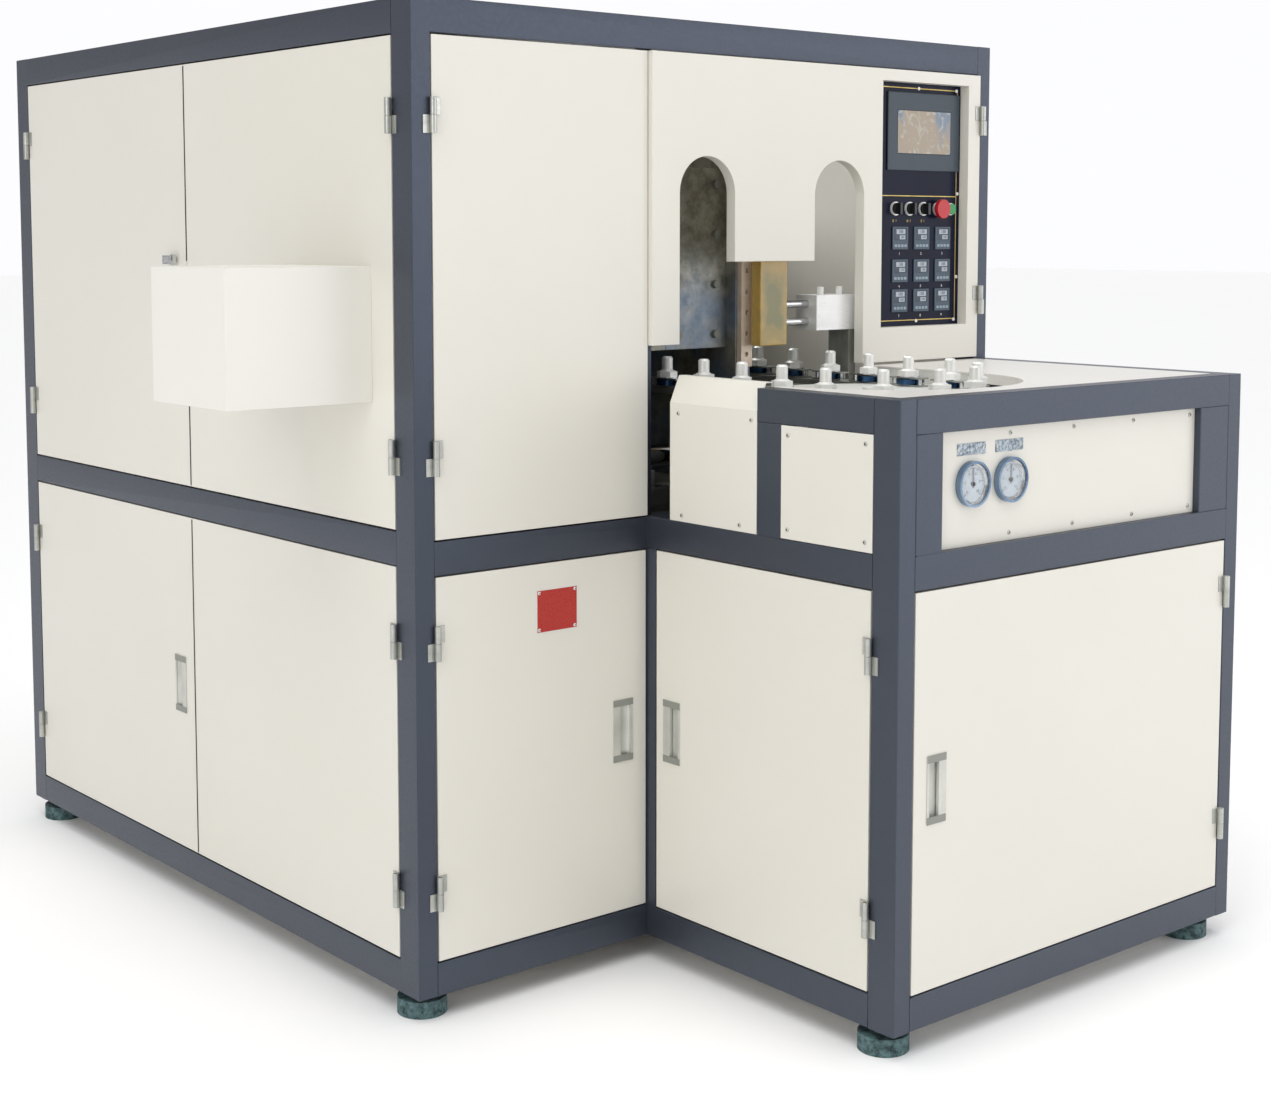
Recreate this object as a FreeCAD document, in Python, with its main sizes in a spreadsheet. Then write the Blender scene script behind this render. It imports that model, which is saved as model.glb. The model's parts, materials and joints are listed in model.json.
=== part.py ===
import FreeCAD, Part
import math
import os
import re
import Sketcher

# A linear stretch blow moulding machine. Millimetres, +Z up, operator side towards -Y.
# Positions are written from the tall cabinet's front left corner on the floor: +X along its
# front, +Y to its back. The document's origin is under the middle of the whole machine.

SIZES = {
    # cabinets
    "cab_w": (1500, "width of both cabinets together"),
    "cab_d": (1670, "depth of the tall cabinet"),
    "cab_h": (1755, "height of the tall frame"),
    "low_x": (525, "left face of the low cabinet"),
    "low_d": (645, "how far the low cabinet stands in front"),
    "low_h": (1080, "height of the low frame"),
    "foot_h": (45, "height of the levelling feet"),
    "foot_r": (45, "radius of a foot pad"),
    # welded tube
    "tube_a": (60, "long side of the frame tube"),
    "tube_b": (40, "short side of the frame tube"),
    "tube_t": (3, "wall of the frame tube"),
    "front_rail": (816, "top of the front middle rail above the frame's base"),
    "side_rail": (832, "top of the side middle rails above the frame's base"),
    "low_rail": (818, "top of the low cabinet's middle rails above the frame's base"),
    "short_post": (303, "back face of the low cabinet's short post"),
    "slim_post": (25, "thin post where the low cabinet meets the tall one"),
    "stop_w": (20, "width of the post behind the meeting front doors"),
    "gauge_left": (66, "left filler post beside the gauge panel"),
    "gauge_right": (91, "right filler post beside the gauge panel"),
    # sheet metal
    "sheet": (2, "thickness of the doors and covers"),
    "door_t": (25, "depth of a folded door"),
    "gap": (3, "gap round a door"),
    "proud": (12, "how far the window door stands out"),
    "rim": (24, "width of the folds round the window door's cut-outs"),
    "arch_w": (142, "width of an arch"),
    "arch_left": (68, "leg left of the left arch"),
    "arch_mid": (218, "tongue between the arches"),
    "arch_top": (1545, "top of the arches above the floor"),
    "tongue_z": (1343, "bottom of the tongue above the floor"),
    "leg_z": (1187, "bottom of the left leg above the floor"),
    "right_leg_z": (1130, "bottom of the right leg above the floor"),
    # hinges
    "pin_out": (7, "pin axis in front of a door's face"),
    "knuckle_r": (6, "radius of a hinge knuckle"),
    "pin_r": (3, "radius of a hinge pin"),
    "leaf_w": (18, "width of a hinge leaf"),
    "leaf_t": (2, "thickness of a hinge leaf"),
    "half_h": (31, "height of one half of a hinge"),
    # hood on the side door
    "hood_out": (287, "how far the hood stands out"),
    "hood_l": (271, "length of the hood"),
    "hood_h": (240, "height of the hood"),
    "hood_rim": (12, "rim of the door left inside the hood"),
    # recessed handles
    "grip_w": (40, "width of a recessed handle"),
    "grip_h": (112, "height of a recessed handle"),
    "grip_t": (22, "depth of a recessed handle"),
    "grip_up": (294, "handles above the door's lower edge"),
    # control window
    "win_left": (77, "right margin of the control window"),
    "win_w": (268, "width of the control window"),
    "win_z": (1202, "bottom of the control window above the floor"),
    "win_h": (511, "height of the control window"),
    # deck and chain
    "deck_t": (4, "thickness of the deck plate"),
    "deck_gap": (6, "gap between the turning disc and the deck"),
    "row_mid": (855, "middle between the chain's two rows"),
    "turn_r": (190, "radius of the chain's path round a wheel"),
    "front_turn": (285, "front wheel's centre in front of the tall cabinet"),
    "rear_room": (385, "rear wheel's centre in front of the tall cabinet's back"),
    "disc_r": (262, "radius of the turning disc"),
    "disc_t": (8, "thickness of the turning disc"),
    "bearing_h": (150, "foot of the front bearing below the disc's top"),
    "gear_h": (110, "height of the gear case"),
    "disc_top": (1096, "top of the discs and guide rails above the floor"),
    "link_t": (18, "height of a chain link block"),
    "run": (0.3, "running gap under the chain"),
    # clamp
    "clamp_y": (267, "middle of the clamp"),
    "axis_z": (1220, "axis of the clamp cylinder above the floor"),
    "mould_t": (160, "thickness of a mould half"),
    "mould_l": (315, "length of a mould half along the row"),
    "mould_z": (1168, "bottom of the moulds above the floor"),
    "mould_h": (360, "height of a mould half"),
    "platen_t": (40, "thickness of a platen"),
    "platen_l": (374, "length of a platen along the row"),
    "platen_z": (893, "bottom of the platens above the floor"),
    "platen_h": (740, "height of a platen"),
    "tie_r": (22, "radius of a tie bar"),
    "tie_low": (960, "lower tie bars above the floor"),
    "tie_high": (1585, "upper tie bars above the floor"),
    "tie_y": (155, "tie bars each side of the clamp's middle"),
    "end_x": (110, "left face of the cylinder plate"),
    "cyl_out": (200, "how far the clamp cylinder reaches out of the side"),
    "cyl_w": (120, "width of the clamp cylinder"),
    "cyl_bore": (50, "radius of the clamp cylinder's bore"),
    "rod_r": (25, "radius of the clamp rod"),
    "bed_t": (20, "thickness of the bed plate"),
    "pitch": (108, "distance between the two cavities"),
    "bottle_r": (33, "radius of a bottle cavity"),
    "bottle_h": (210, "height of a bottle cavity"),
}

# Sizes that follow from others, used by name like the cells above.
DERIVED = {
    "deck_cut": "(disc_r + deck_gap)",
    "rear_turn": "(cab_d - rear_room)",
    "row_x": "(row_mid - turn_r)",
}

doc = FreeCAD.newDocument("BlowMouldingMachine")
sheet = doc.addObject("Spreadsheet::Sheet", "Sizes")
for row, (alias, (number, note)) in enumerate(SIZES.items(), start=1):
    sheet.set(f"A{row}", note)
    sheet.set(f"B{row}", str(number))
    sheet.setAlias(f"B{row}", alias)
doc.recompute()

ORIGIN_X = "(cab_w - hood_out) / 2"
ORIGIN_Y = "(cab_d - low_d - pin_out - knuckle_r) / 2"
WORD = re.compile(r"[a-z][a-z0-9_]*")
TOP = "(foot_h + cab_h)"
DECK = "(foot_h + low_h)"
RAIL = "(foot_h + front_rail)"
SIDE = "(foot_h + side_rail)"
LOW_RAIL = "(foot_h + low_rail)"
INNER_LOW = "(low_x + tube_b)"
PANEL_SPAN = "(low_d - short_post - 2 * tube_a)"
HOOD_Y = "(clamp_y - hood_l / 2)"
HOOD_Z = "(axis_z - hood_h / 2)"
nodes = {}


# ---------------------------------------------------------------- helpers

def linked(text):
    """An expression in which every alias names its cell in the sheet."""
    spelled = WORD.sub(lambda m: DERIVED.get(m.group(0), m.group(0)), str(text))
    return WORD.sub(lambda m: "Sizes." + m.group(0) if m.group(0) in SIZES else m.group(0), spelled)


def value(text):
    return float(sheet.evalExpression(linked(text)))


def tie(item, prop, text):
    item.setExpression(prop, linked(text))


def place(item, x, y, z):
    """Puts an item at a point given from the tall cabinet's front left corner."""
    tie(item, "Placement.Base.x", f"({x}) - {ORIGIN_X}")
    tie(item, "Placement.Base.y", f"({y}) - {ORIGIN_Y}")
    tie(item, "Placement.Base.z", z)
    return item


def turned(item, degrees, axis=(0, 0, 1)):
    item.Placement = FreeCAD.Placement(FreeCAD.Vector(), FreeCAD.Rotation(FreeCAD.Vector(*axis), degrees))
    return item


def box(name, x, y, z, dx, dy, dz):
    item = doc.addObject("Part::Box", name)
    for prop, text in (("Length", dx), ("Width", dy), ("Height", dz)):
        tie(item, prop, text)
    return place(item, x, y, z)


def rod(name, axis, x, y, z, radius, length):
    """A round bar from the point along +X, +Y or +Z."""
    item = doc.addObject("Part::Cylinder", name)
    if axis == "x":
        turned(item, 90, (0, 1, 0))
    if axis == "y":
        turned(item, -90, (1, 0, 0))
    tie(item, "Radius", radius)
    tie(item, "Height", length)
    return place(item, x, y, z)


def group(name, items):
    item = doc.addObject("Part::Compound", name)
    item.Links = items
    return item


def cut(name, base, *tools):
    item = doc.addObject("Part::Cut", name)
    item.Base = base
    item.Tool = tools[0] if len(tools) == 1 else group(name + "_tools", list(tools))
    return item


def fuse(name, *items):
    item = doc.addObject("Part::MultiFuse", name)
    item.Shapes = list(items)
    return item


def node(name, item):
    """Keeps an item as a named piece of the machine."""
    item.Label = name
    nodes[name] = item
    return item


def tube(name, axis, x, y, z, dx, dy, dz, capped=False):
    """A rectangular tube along the axis, open at both ends or with a cap welded on its top."""
    inset = {a: "0" if a == axis else "tube_t" for a in "xyz"}
    cap = "tube_t" if capped else "0"
    outer = box(name + "_out", x, y, z, dx, dy, dz)
    inner = box(name + "_in", f"{x} + {inset['x']}", f"{y} + {inset['y']}", f"{z} + {inset['z']}",
                f"{dx} - 2 * {inset['x']}", f"{dy} - 2 * {inset['y']}", f"{dz} - 2 * {inset['z']} - {cap}")
    return cut(name, outer, inner)


def new_body(name, x, y, z, degrees=0):
    return place(turned(doc.addObject("PartDesign::Body", name), degrees), x, y, z)


def new_sketch(body, name, plane):
    sketch = body.newObject("Sketcher::SketchObject", name)
    for feature in body.Origin.OriginFeatures:
        if feature.Role == plane:
            sketch.AttachmentSupport = [(feature, "")]
    sketch.MapMode = "FlatFace"
    return sketch


def fix_point(sketch, geometry, end, across, up):
    """Holds a point at its distances from the sketch's origin, tied to the sheet."""
    for kind, text, axis in (("DistanceX", across, -2), ("DistanceY", up, -1)):
        if str(text) == "0":
            sketch.addConstraint(Sketcher.Constraint("PointOnObject", geometry, end, axis))
            continue
        index = sketch.addConstraint(Sketcher.Constraint(kind, -1, 1, geometry, end, value(text)))
        sketch.setExpression(f"Constraints[{index}]", linked(text))


def outline(sketch, corners):
    """A closed outline. A corner marked "arch" starts a half circle over to the next corner."""
    first = sketch.GeometryCount
    points = [FreeCAD.Vector(value(c[0]), value(c[1]), 0) for c in corners]
    count = len(corners)
    for i, corner in enumerate(corners):
        start, stop = points[i], points[(i + 1) % count]
        if len(corner) > 2:
            middle = (start + stop) * 0.5
            circle = Part.Circle(middle, FreeCAD.Vector(0, 0, 1), (stop - start).Length / 2)
            sketch.addGeometry(Part.ArcOfCircle(circle, 0, math.pi))
        else:
            sketch.addGeometry(Part.LineSegment(start, stop))
    for i, corner in enumerate(corners):
        last = (i - 1) % count
        here = (first + i, 2 if len(corner) > 2 else 1)
        before = (first + last, 1 if len(corners[last]) > 2 else 2)
        sketch.addConstraint(Sketcher.Constraint("Coincident", *before, *here))
        fix_point(sketch, *(before if len(corner) > 2 else here), corner[0], corner[1])
        if len(corner) > 2:
            height = value(corner[1])
            index = sketch.addConstraint(Sketcher.Constraint("DistanceY", -1, 1, first + i, 3, height))
            sketch.setExpression(f"Constraints[{index}]", linked(corner[1]))


def rectangle(sketch, x, y, dx, dy):
    outline(sketch, [(x, y), (f"{x} + {dx}", y), (f"{x} + {dx}", f"{y} + {dy}"), (x, f"{y} + {dy}")])


def ring(sketch, radius, x="0", y="0"):
    """A circle of the given radius, centred on a point of the sketch."""
    index = sketch.addGeometry(Part.Circle(FreeCAD.Vector(value(x), value(y), 0),
                                           FreeCAD.Vector(0, 0, 1), value(radius)))
    if (x, y) == ("0", "0"):
        sketch.addConstraint(Sketcher.Constraint("Coincident", index, 3, -1, 1))
    else:
        fix_point(sketch, index, 3, x, y)
    held = sketch.addConstraint(Sketcher.Constraint("Radius", index, value(radius)))
    sketch.setExpression(f"Constraints[{held}]", linked(radius))


def pad(body, sketch, length, backwards=False):
    item = body.newObject("PartDesign::Pad", sketch.Name + "_pad")
    item.Profile = sketch
    item.Reversed = backwards
    tie(item, "Length", length)
    sketch.Visibility = False
    return item


def lathe(body, sketch):
    item = body.newObject("PartDesign::Revolution", sketch.Name + "_turned")
    item.Profile = sketch
    item.ReferenceAxis = (sketch, ["V_Axis"])
    item.Angle = 360
    return item


# ---------------------------------------------------------------- frames

def tall_frame():
    inner_w, inner_d = "cab_w - 2 * tube_b", "cab_d - 2 * tube_a"
    tubes = []
    for i, x in enumerate(("0", "cab_w - tube_b")):
        for j, y in enumerate(("0", "cab_d - tube_a")):
            tubes.append(tube(f"tall_post_{i}{j}", "z", x, y, "foot_h", "tube_b", "tube_a", "cab_h", True))
    levels = (("base", "foot_h", "foot_h"),
              ("middle", f"{RAIL} - tube_a", f"{SIDE} - tube_a"),
              ("top", f"{TOP} - tube_a", f"{TOP} - tube_a"))
    for level, front_z, side_z in levels:
        for end, y in (("front", "0"), ("back", "cab_d - tube_b")):
            tubes.append(tube(f"{level}_{end}", "x", "tube_b", y, front_z, inner_w, "tube_b", "tube_a"))
        for side, x in (("left", "0"), ("right", "cab_w - tube_b")):
            tubes.append(tube(f"{level}_{side}", "y", x, "tube_a", side_z, "tube_b", inner_d, "tube_a"))
    for i, x in enumerate(("low_x", "row_mid + turn_r")):
        tubes.append(tube(f"bed_beam_{i}", "y", x, "tube_b", f"{RAIL} - tube_a",
                          "tube_b", "cab_d - 2 * tube_b", "tube_a - bed_t"))
    tubes.append(tube("lower_post", "z", "low_x", "0", "foot_h + tube_a",
                      "tube_b", "tube_b", f"{RAIL} - 2 * tube_a - foot_h"))
    tubes.append(tube("stop_post", "z", "low_x + gap", "proud + gap", RAIL,
                      "stop_w", "door_t", f"{TOP} - tube_a - {RAIL}"))
    node("tall_frame", group("tall_frame", tubes))


def low_frame():
    front = "0 - low_d"
    width = f"cab_w - tube_b - {INNER_LOW}"
    right = "cab_w - tube_b"
    post_h = "low_h - tube_a"
    tubes = [tube("low_post_left", "z", "low_x", front, "foot_h", "tube_b", "tube_a", "low_h", True),
             tube("low_post_right", "z", right, front, "foot_h", "tube_b", "tube_a", "low_h", True),
             tube("low_slim_left", "z", "low_x", "0 - slim_post", "foot_h",
                  "tube_b", "slim_post", "low_rail - tube_a"),
             tube("low_slim_right", "z", right, "0 - slim_post", "foot_h", "tube_b", "slim_post", post_h),
             tube("low_short_post", "z", "low_x", "0 - short_post - tube_a", LOW_RAIL,
                  "tube_b", "tube_a", "low_h - low_rail - tube_a")]
    for name, z in (("base", "foot_h"), ("middle", f"{LOW_RAIL} - tube_a"), ("top", f"{DECK} - tube_a")):
        tubes.append(tube(f"low_{name}_front", "x", INNER_LOW, front, z, width, "tube_b", "tube_a"))
    side = "low_d - tube_a"
    for name, x in (("left", "low_x"), ("right", right)):
        tubes.append(tube(f"low_base_{name}", "y", x, f"{front} + tube_a", "foot_h",
                          "tube_b", f"{side} - slim_post", "tube_a"))
    tubes.append(tube("low_middle_left", "y", "low_x", f"{front} + tube_a", f"{LOW_RAIL} - tube_a",
                      "tube_b", side, "tube_a"))
    tubes.append(tube("low_middle_right", "y", right, f"{front} + tube_a", f"{LOW_RAIL} - tube_a",
                      "tube_b", f"{side} - slim_post", "tube_a"))
    tubes.append(tube("low_top_left", "y", "low_x", f"{front} + tube_a", f"{DECK} - tube_a",
                      "tube_b", f"{side} - short_post", "tube_a"))
    tubes.append(tube("low_top_right", "y", right, f"{front} + tube_a", f"{DECK} - tube_a",
                      "tube_b", side, "tube_a"))
    fill_h = "low_h - low_rail - tube_a"
    tubes.append(tube("gauge_fill_left", "z", INNER_LOW, front, LOW_RAIL, "gauge_left", "tube_b", fill_h))
    tubes.append(tube("gauge_fill_right", "z", f"{right} - gauge_right", front, LOW_RAIL,
                      "gauge_right", "tube_b", fill_h))
    beam_y = "0 - front_turn - tube_a / 2"
    tubes.append(tube("wheel_beam", "x", INNER_LOW, beam_y, f"{LOW_RAIL} - tube_a", width, "tube_a", "tube_a"))
    tubes.append(tube("wheel_pedestal", "z", "row_mid - tube_a / 2", beam_y, LOW_RAIL,
                      "tube_a", "tube_a", f"disc_top - bearing_h - {LOW_RAIL}"))
    node("low_frame", group("low_frame", tubes))


def feet():
    spots = [("tube_b / 2", "tube_a"), ("cab_w - tube_a", "tube_a"), ("tube_b / 2", "cab_d - tube_a"),
             ("cab_w - tube_a", "cab_d - tube_a"), (INNER_LOW, "tube_a - low_d"),
             ("cab_w - tube_a", "tube_a - low_d")]
    pads, stems = [], []
    for i, (x, y) in enumerate(spots):
        x = f"max({x}; foot_r)"
        pads.append(rod(f"foot_{i}", "z", x, y, "0", "foot_r", "foot_h - 14"))
        lower = rod(f"stem_nut_{i}", "z", x, y, "foot_h - 14", "17", "10")
        upper = rod(f"stem_bolt_{i}", "z", x, y, "foot_h - 4", "8", "4")
        stems.append(fuse(f"stem_{i}", lower, upper))
    node("levelling_feet", group("levelling_feet", pads + stems))


# ---------------------------------------------------------------- fixed covers

def fixed_panels():
    """Sheets that close the right side, the back, the roof and the floor."""
    span_x, span_y = "cab_w - 2 * tube_b - 2", "cab_d - 2 * tube_a - 2"
    low_side = "low_d - tube_a - slim_post - 2"
    low_front = "tube_a + 1 - low_d"
    base = "foot_h + tube_a + 1"
    sheets = []
    rooms = (("upper", f"{SIDE} + 1", f"{TOP} - tube_a - {SIDE} - 2"),
             ("lower", base, f"{SIDE} - foot_h - 2 * tube_a - 2"))
    for name, z, height in rooms:
        sheets.append(box(f"right_{name}", "cab_w - sheet", "tube_a + 1", z, "sheet", span_y, height))
    rooms = (("upper", f"{RAIL} + 1", f"{TOP} - tube_a - {RAIL} - 2"),
             ("lower", base, f"{RAIL} - foot_h - 2 * tube_a - 2"))
    for name, z, height in rooms:
        sheets.append(box(f"back_{name}", "tube_b + 1", "cab_d - sheet", z, span_x, "sheet", height))
    rooms = (("upper", f"{LOW_RAIL} + 1", "low_h - low_rail - tube_a - 2"),
             ("lower", base, "low_rail - 2 * tube_a - 2"))
    for name, z, height in rooms:
        sheets.append(box(f"low_right_{name}", "cab_w - sheet", low_front, z, "sheet", low_side, height))
    depth = "cab_d - 2 * tube_b - 2"
    sheets.append(box("roof", "tube_b + 1", "tube_b + 1", f"{TOP} - sheet", span_x, depth, "sheet"))
    sheets.append(box("tall_floor", "tube_b + 1", "tube_b + 1", "foot_h", span_x, depth, "sheet"))
    sheets.append(box("low_floor", f"{INNER_LOW} + 1", "tube_b + 1 - low_d", "foot_h",
                      f"cab_w - tube_b - {INNER_LOW} - 2", "low_d - tube_b - 2", "sheet"))
    node("fixed_panels", group("fixed_panels", sheets))


def deck_plate():
    """Deck sheet with an opening that is round in front and runs straight back to the cabinet, and
    a tray that hangs from it beside the right row."""
    inset = f"({INNER_LOW} + 1)"
    body = new_body("deck_body", inset, "tube_b + 1 - low_d", f"{DECK} - deck_t")
    sketch = new_sketch(body, "deck_outline", "XY_Plane")
    width = f"(cab_w - tube_b - {inset} - 1)"
    depth = "(low_d - tube_b - 2)"
    rectangle(sketch, "0", "0", width, depth)
    pad(body, sketch, "deck_t")
    low, deep = f"{DECK} - 2 * deck_t", "4 * deck_t"
    half_round = rod("deck_round", "z", "row_mid", "0 - front_turn", low, "deck_cut", deep)
    slot = box("deck_slot", "row_mid - deck_cut", "0 - front_turn", low,
               "2 * deck_cut", "front_turn + tube_b", deep)
    side = box("deck_side", "low_x", "0 - short_post", low, "row_mid - low_x", "short_post + tube_b", deep)
    sheet = cut("deck_opening", body, half_round, slot, side)
    tray_x, tray_z = "(row_mid + turn_r + 19)", "(disc_top - disc_t - 4)"
    edge = "(row_mid + deck_cut)"
    length = "(front_turn - 2)"
    floor = box("tray_floor", tray_x, "0 - front_turn", tray_z, f"{edge} + 3 - {tray_x}", length, "2")
    flange = box("tray_flange", f"{edge} + 1", "0 - front_turn", tray_z, "2", length,
                 f"{DECK} - deck_t - {tray_z}")
    node("deck_plate", group("deck_plate", [sheet, fuse("deck_tray", floor, flange)]))


def guard_cover():
    """Folded cover on the left middle rail: a flat side, a slope and a short top fold."""
    clear = 1
    length = f"short_post - 66 - {clear}"
    body = new_body("guard_body", "low_x", f"{clear} - short_post", LOW_RAIL)
    sketch = new_sketch(body, "guard_profile", "XZ_Plane")
    fold, top = "(low_h - low_rail - 41)", "(low_h - low_rail + 9)"
    outline(sketch, [("0", "0"), ("0", fold), ("22", top), ("38", top), ("38", f"{top} - sheet"),
                     ("23", f"{top} - sheet"), ("sheet", f"{fold} - 0.4"), ("sheet", "sheet"),
                     ("tube_b", "sheet"), ("tube_b", "0")])
    pad(body, sketch, length, backwards=True)
    node("guard_cover", body)


def side_access_panel():
    plate = box("access_plate", "low_x", f"1 - short_post - tube_a - {PANEL_SPAN}", f"{LOW_RAIL} + 1",
                "sheet", f"{PANEL_SPAN} - 2", "low_h - low_rail - tube_a - 2")
    node("side_access_panel", plate)


GAUGES = ("153", "253")


def gauge_panel():
    """Sheet set back behind the front rail, with two gauges and two blank plates above them."""
    left = f"({INNER_LOW} + gauge_left)"
    width = f"cab_w - tube_b - gauge_right - {left}"
    face = "14 - low_d"
    height = "low_h - low_rail - tube_a"
    plate = box("gauge_sheet", left, face, LOW_RAIL, width, "sheet", height)
    centre_z = f"{LOW_RAIL} + 108"
    holes, cases, glasses, plates = [], [], [], []
    for i, across in enumerate(GAUGES):
        x = f"low_x + 40 + {across}"
        holes.append(rod(f"gauge_hole_{i}", "y", x, f"{face} - 1", centre_z, "31", "sheet + 2"))
        bezel = rod(f"gauge_bezel_{i}", "y", x, f"{face} - 12", centre_z, "40", "12")
        well = rod(f"gauge_well_{i}", "y", x, f"{face} - 12", centre_z, "36", "9")
        back = rod(f"gauge_back_{i}", "y", x, face, centre_z, "30", "34")
        stem = rod(f"gauge_stem_{i}", "y", x, f"{face} + 34", centre_z, "9", "24")
        cases.append(cut(f"gauge_case_{i}", fuse(f"gauge_solid_{i}", bezel, back, stem), well))
        glasses.append(rod(f"gauge_glass_{i}", "y", x, f"{face} - 11.4", centre_z, "35.9", "2"))
        needle_arm = box(f"needle_arm_{i}", f"{x} - 1", f"{face} - 6", f"{centre_z} - 7", "2", "1", "34")
        hub = rod(f"needle_hub_{i}", "y", x, f"{face} - 7", centre_z, "4", "3.5")
        node(f"gauge_needle_{i + 1}", fuse(f"needle_{i}", needle_arm, hub))
        plates.append(box(f"name_plate_{i}", f"{x} - 37", f"{face} - 1", f"{LOW_RAIL} + 154", "74", "1", "28"))
    node("gauge_panel", cut("gauge_panel_cut", plate, *holes))
    node("gauge_cases", group("gauge_cases", cases))
    node("gauge_glasses", group("gauge_glasses", glasses))
    return plates


def panel_fittings(plates):
    """The blank plates and the pan head screws of the gauge panel, the access panel and the guard cover."""
    screws = []

    def screw(axis, x, y, z):
        screws.append(rod(f"screw_{len(screws)}", axis, x, y, z, "4.5", "2.5"))

    left = f"({INNER_LOW} + gauge_left)"
    right = "(cab_w - tube_b - gauge_right)"
    for i in range(4):
        x = f"{left} + 190 + ({right} - {left} - 208) * {i} / 3"
        screw("y", x, "11.5 - low_d", f"{DECK} - tube_a - 13")
        screw("y", x, "11.5 - low_d", f"{LOW_RAIL} + 14")
    front = "tube_a - low_d"
    for y in (f"{front} + 18", f"{front} + {PANEL_SPAN} - 18"):
        for z in (f"{LOW_RAIL} + 18", f"{DECK} - tube_a - 18"):
            screw("x", "low_x - 2.5", y, z)
    for y, z in (("0 - 90", "202"), ("16 - short_post", "204"), ("0 - 100", "12"), ("0 - 258", "12")):
        screw("x", "low_x - 2.5", y, f"{LOW_RAIL} + {z}")
    node("panel_fittings", group("panel_fittings", plates + screws))


# ---------------------------------------------------------------- doors and hinges

frame_leaves = []


def local_block(name, x, y, z, dx, dy, dz):
    """A block in the coordinates of the piece it becomes part of."""
    item = doc.addObject("Part::Box", name)
    for prop, text in (("Length", dx), ("Width", dy), ("Height", dz)):
        tie(item, prop, text)
    for axis, text in zip("xyz", (x, y, z)):
        tie(item, "Placement.Base." + axis, text)
    return item


def local_pin(name, z, radius, length):
    """An upright bar on the axis of the piece it becomes part of."""
    item = doc.addObject("Part::Cylinder", name)
    tie(item, "Radius", radius)
    tie(item, "Height", length)
    tie(item, "Placement.Base.z", z)
    return item


def hinge_half(name, x, y, z, degrees, side, on_door, step):
    """Knuckle and leaf in one. The door's half turns on the pin of the frame's half below it."""
    low, height = ("run", "half_h - run") if on_door else ("0 - half_h", "half_h")
    knuckle = local_pin(name + "_knuckle", low, "knuckle_r", height)
    leaf_x = "0" if side > 0 else "0 - leaf_w"
    leaf = local_block(name + "_leaf", leaf_x, "pin_out - leaf_t", low, "leaf_w", f"leaf_t + {step}", height)
    if on_door:
        bore = local_pin(name + "_bore", "0", "pin_r + 0.1", "half_h + 2")
        half = cut(name, fuse(name + "_solid", knuckle, leaf), bore)
    else:
        pin = local_pin(name + "_pin", "0 - half_h", "pin_r", "half_h * 1.8")
        half = fuse(name, knuckle, leaf, pin)
    return place(turned(half, degrees), x, y, z)


def hinge(name, x, y, z, degrees, side, step="0"):
    """A lift-off hinge on a pin axis. Returns the door's half and keeps the frame's half."""
    frame_leaves.append(hinge_half(name + "_frame", x, y, z, degrees, -side, False, step))
    return hinge_half(name + "_door", x, y, z, degrees, side, True, "0")


def folded_door(name, x, y, z, degrees, width, height, windows=()):
    """A sheet with its four edges folded back. Windows are plain holes: across, up, width, height."""
    body = new_body(name + "_body", x, y, z, degrees)
    skin = new_sketch(body, name + "_skin", "XZ_Plane")
    rectangle(skin, "0", "0", width, height)
    for across, up, dx, dy in windows:
        rectangle(skin, across, up, dx, dy)
    pad(body, skin, "sheet", backwards=True)
    fold = new_sketch(body, name + "_fold", "XZ_Plane")
    rectangle(fold, "0", "0", width, height)
    rectangle(fold, "sheet", "sheet", f"{width} - 2 * sheet", f"{height} - 2 * sheet")
    pad(body, fold, "door_t", backwards=True)
    return body


def recessed_grip(name, x, y, z, degrees, lip_side):
    """A pressed cup with a flange and a hooked lip to pull on, placed by its lower corner."""
    tall = "grip_h - 4"
    lip_x, mouth_x, groove_x = ("2", "14", "2") if lip_side < 0 else ("grip_w - 14", "2", "grip_w - 12")
    flange = local_block(name + "_flange", "0 - 4", "0 - 1.5", "0 - 4", "grip_w + 8", "1.5", "grip_h + 8")
    cup = local_block(name + "_cup", "0.2", "0", "0.2", "grip_w - 0.4", "grip_t", "grip_h - 0.4")
    room = local_block(name + "_room", "2", "0", "2", "grip_w - 4", "grip_t - 0.5", tall)
    mouth = local_block(name + "_mouth", mouth_x, "0 - 2", "2", "grip_w - 16", "4", tall)
    lip = local_block(name + "_lip", lip_x, "0 - 1.5", "2", "12", "7", tall)
    groove = local_block(name + "_groove", groove_x, "1", "2", "10", "5", tall)
    shell = cut(name + "_shell", fuse(name + "_solid", flange, cup), room, mouth)
    grip = fuse(name + "_fused", shell, cut(name + "_hook", lip, groove))
    return node(name, place(turned(grip, degrees), x, y, z))


UPPER_HINGES = (f"{TOP} - 200", f"{SIDE} + 131")
LOWER_HINGES = (f"{RAIL} - 179", "foot_h + 188")


def front_doors():
    face = "0"
    left = "(tube_b + gap)"
    width = f"low_x + 1.5 - {left}"
    rooms = (("upper", f"{RAIL} + gap", f"{TOP} - tube_a - {RAIL} - 2 * gap", UPPER_HINGES, ()),
             ("lower", "foot_h + tube_a + gap", f"{RAIL} - foot_h - 2 * tube_a - 2 * gap", LOWER_HINGES,
              (("low_x - 80 - tube_b - gap", "grip_up", "grip_w", "grip_h"),)))
    for name, z, height, hinge_z, windows in rooms:
        wide = width if name == "upper" else "low_x - gap - tube_b - gap"
        door = folded_door(f"front_door_{name}", left, face, z, 0, wide, height, windows)
        leaves = [hinge(f"front_{name}_{i}", "tube_b + gap / 2", "0 - pin_out", at, 0, 1)
                  for i, at in enumerate(hinge_z)]
        node(f"front_door_{name}", group(f"front_door_{name}", [door] + leaves))
    recessed_grip("front_lower_handle", "low_x - 80", face, "foot_h + tube_a + gap + grip_up", 0, -1)


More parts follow.
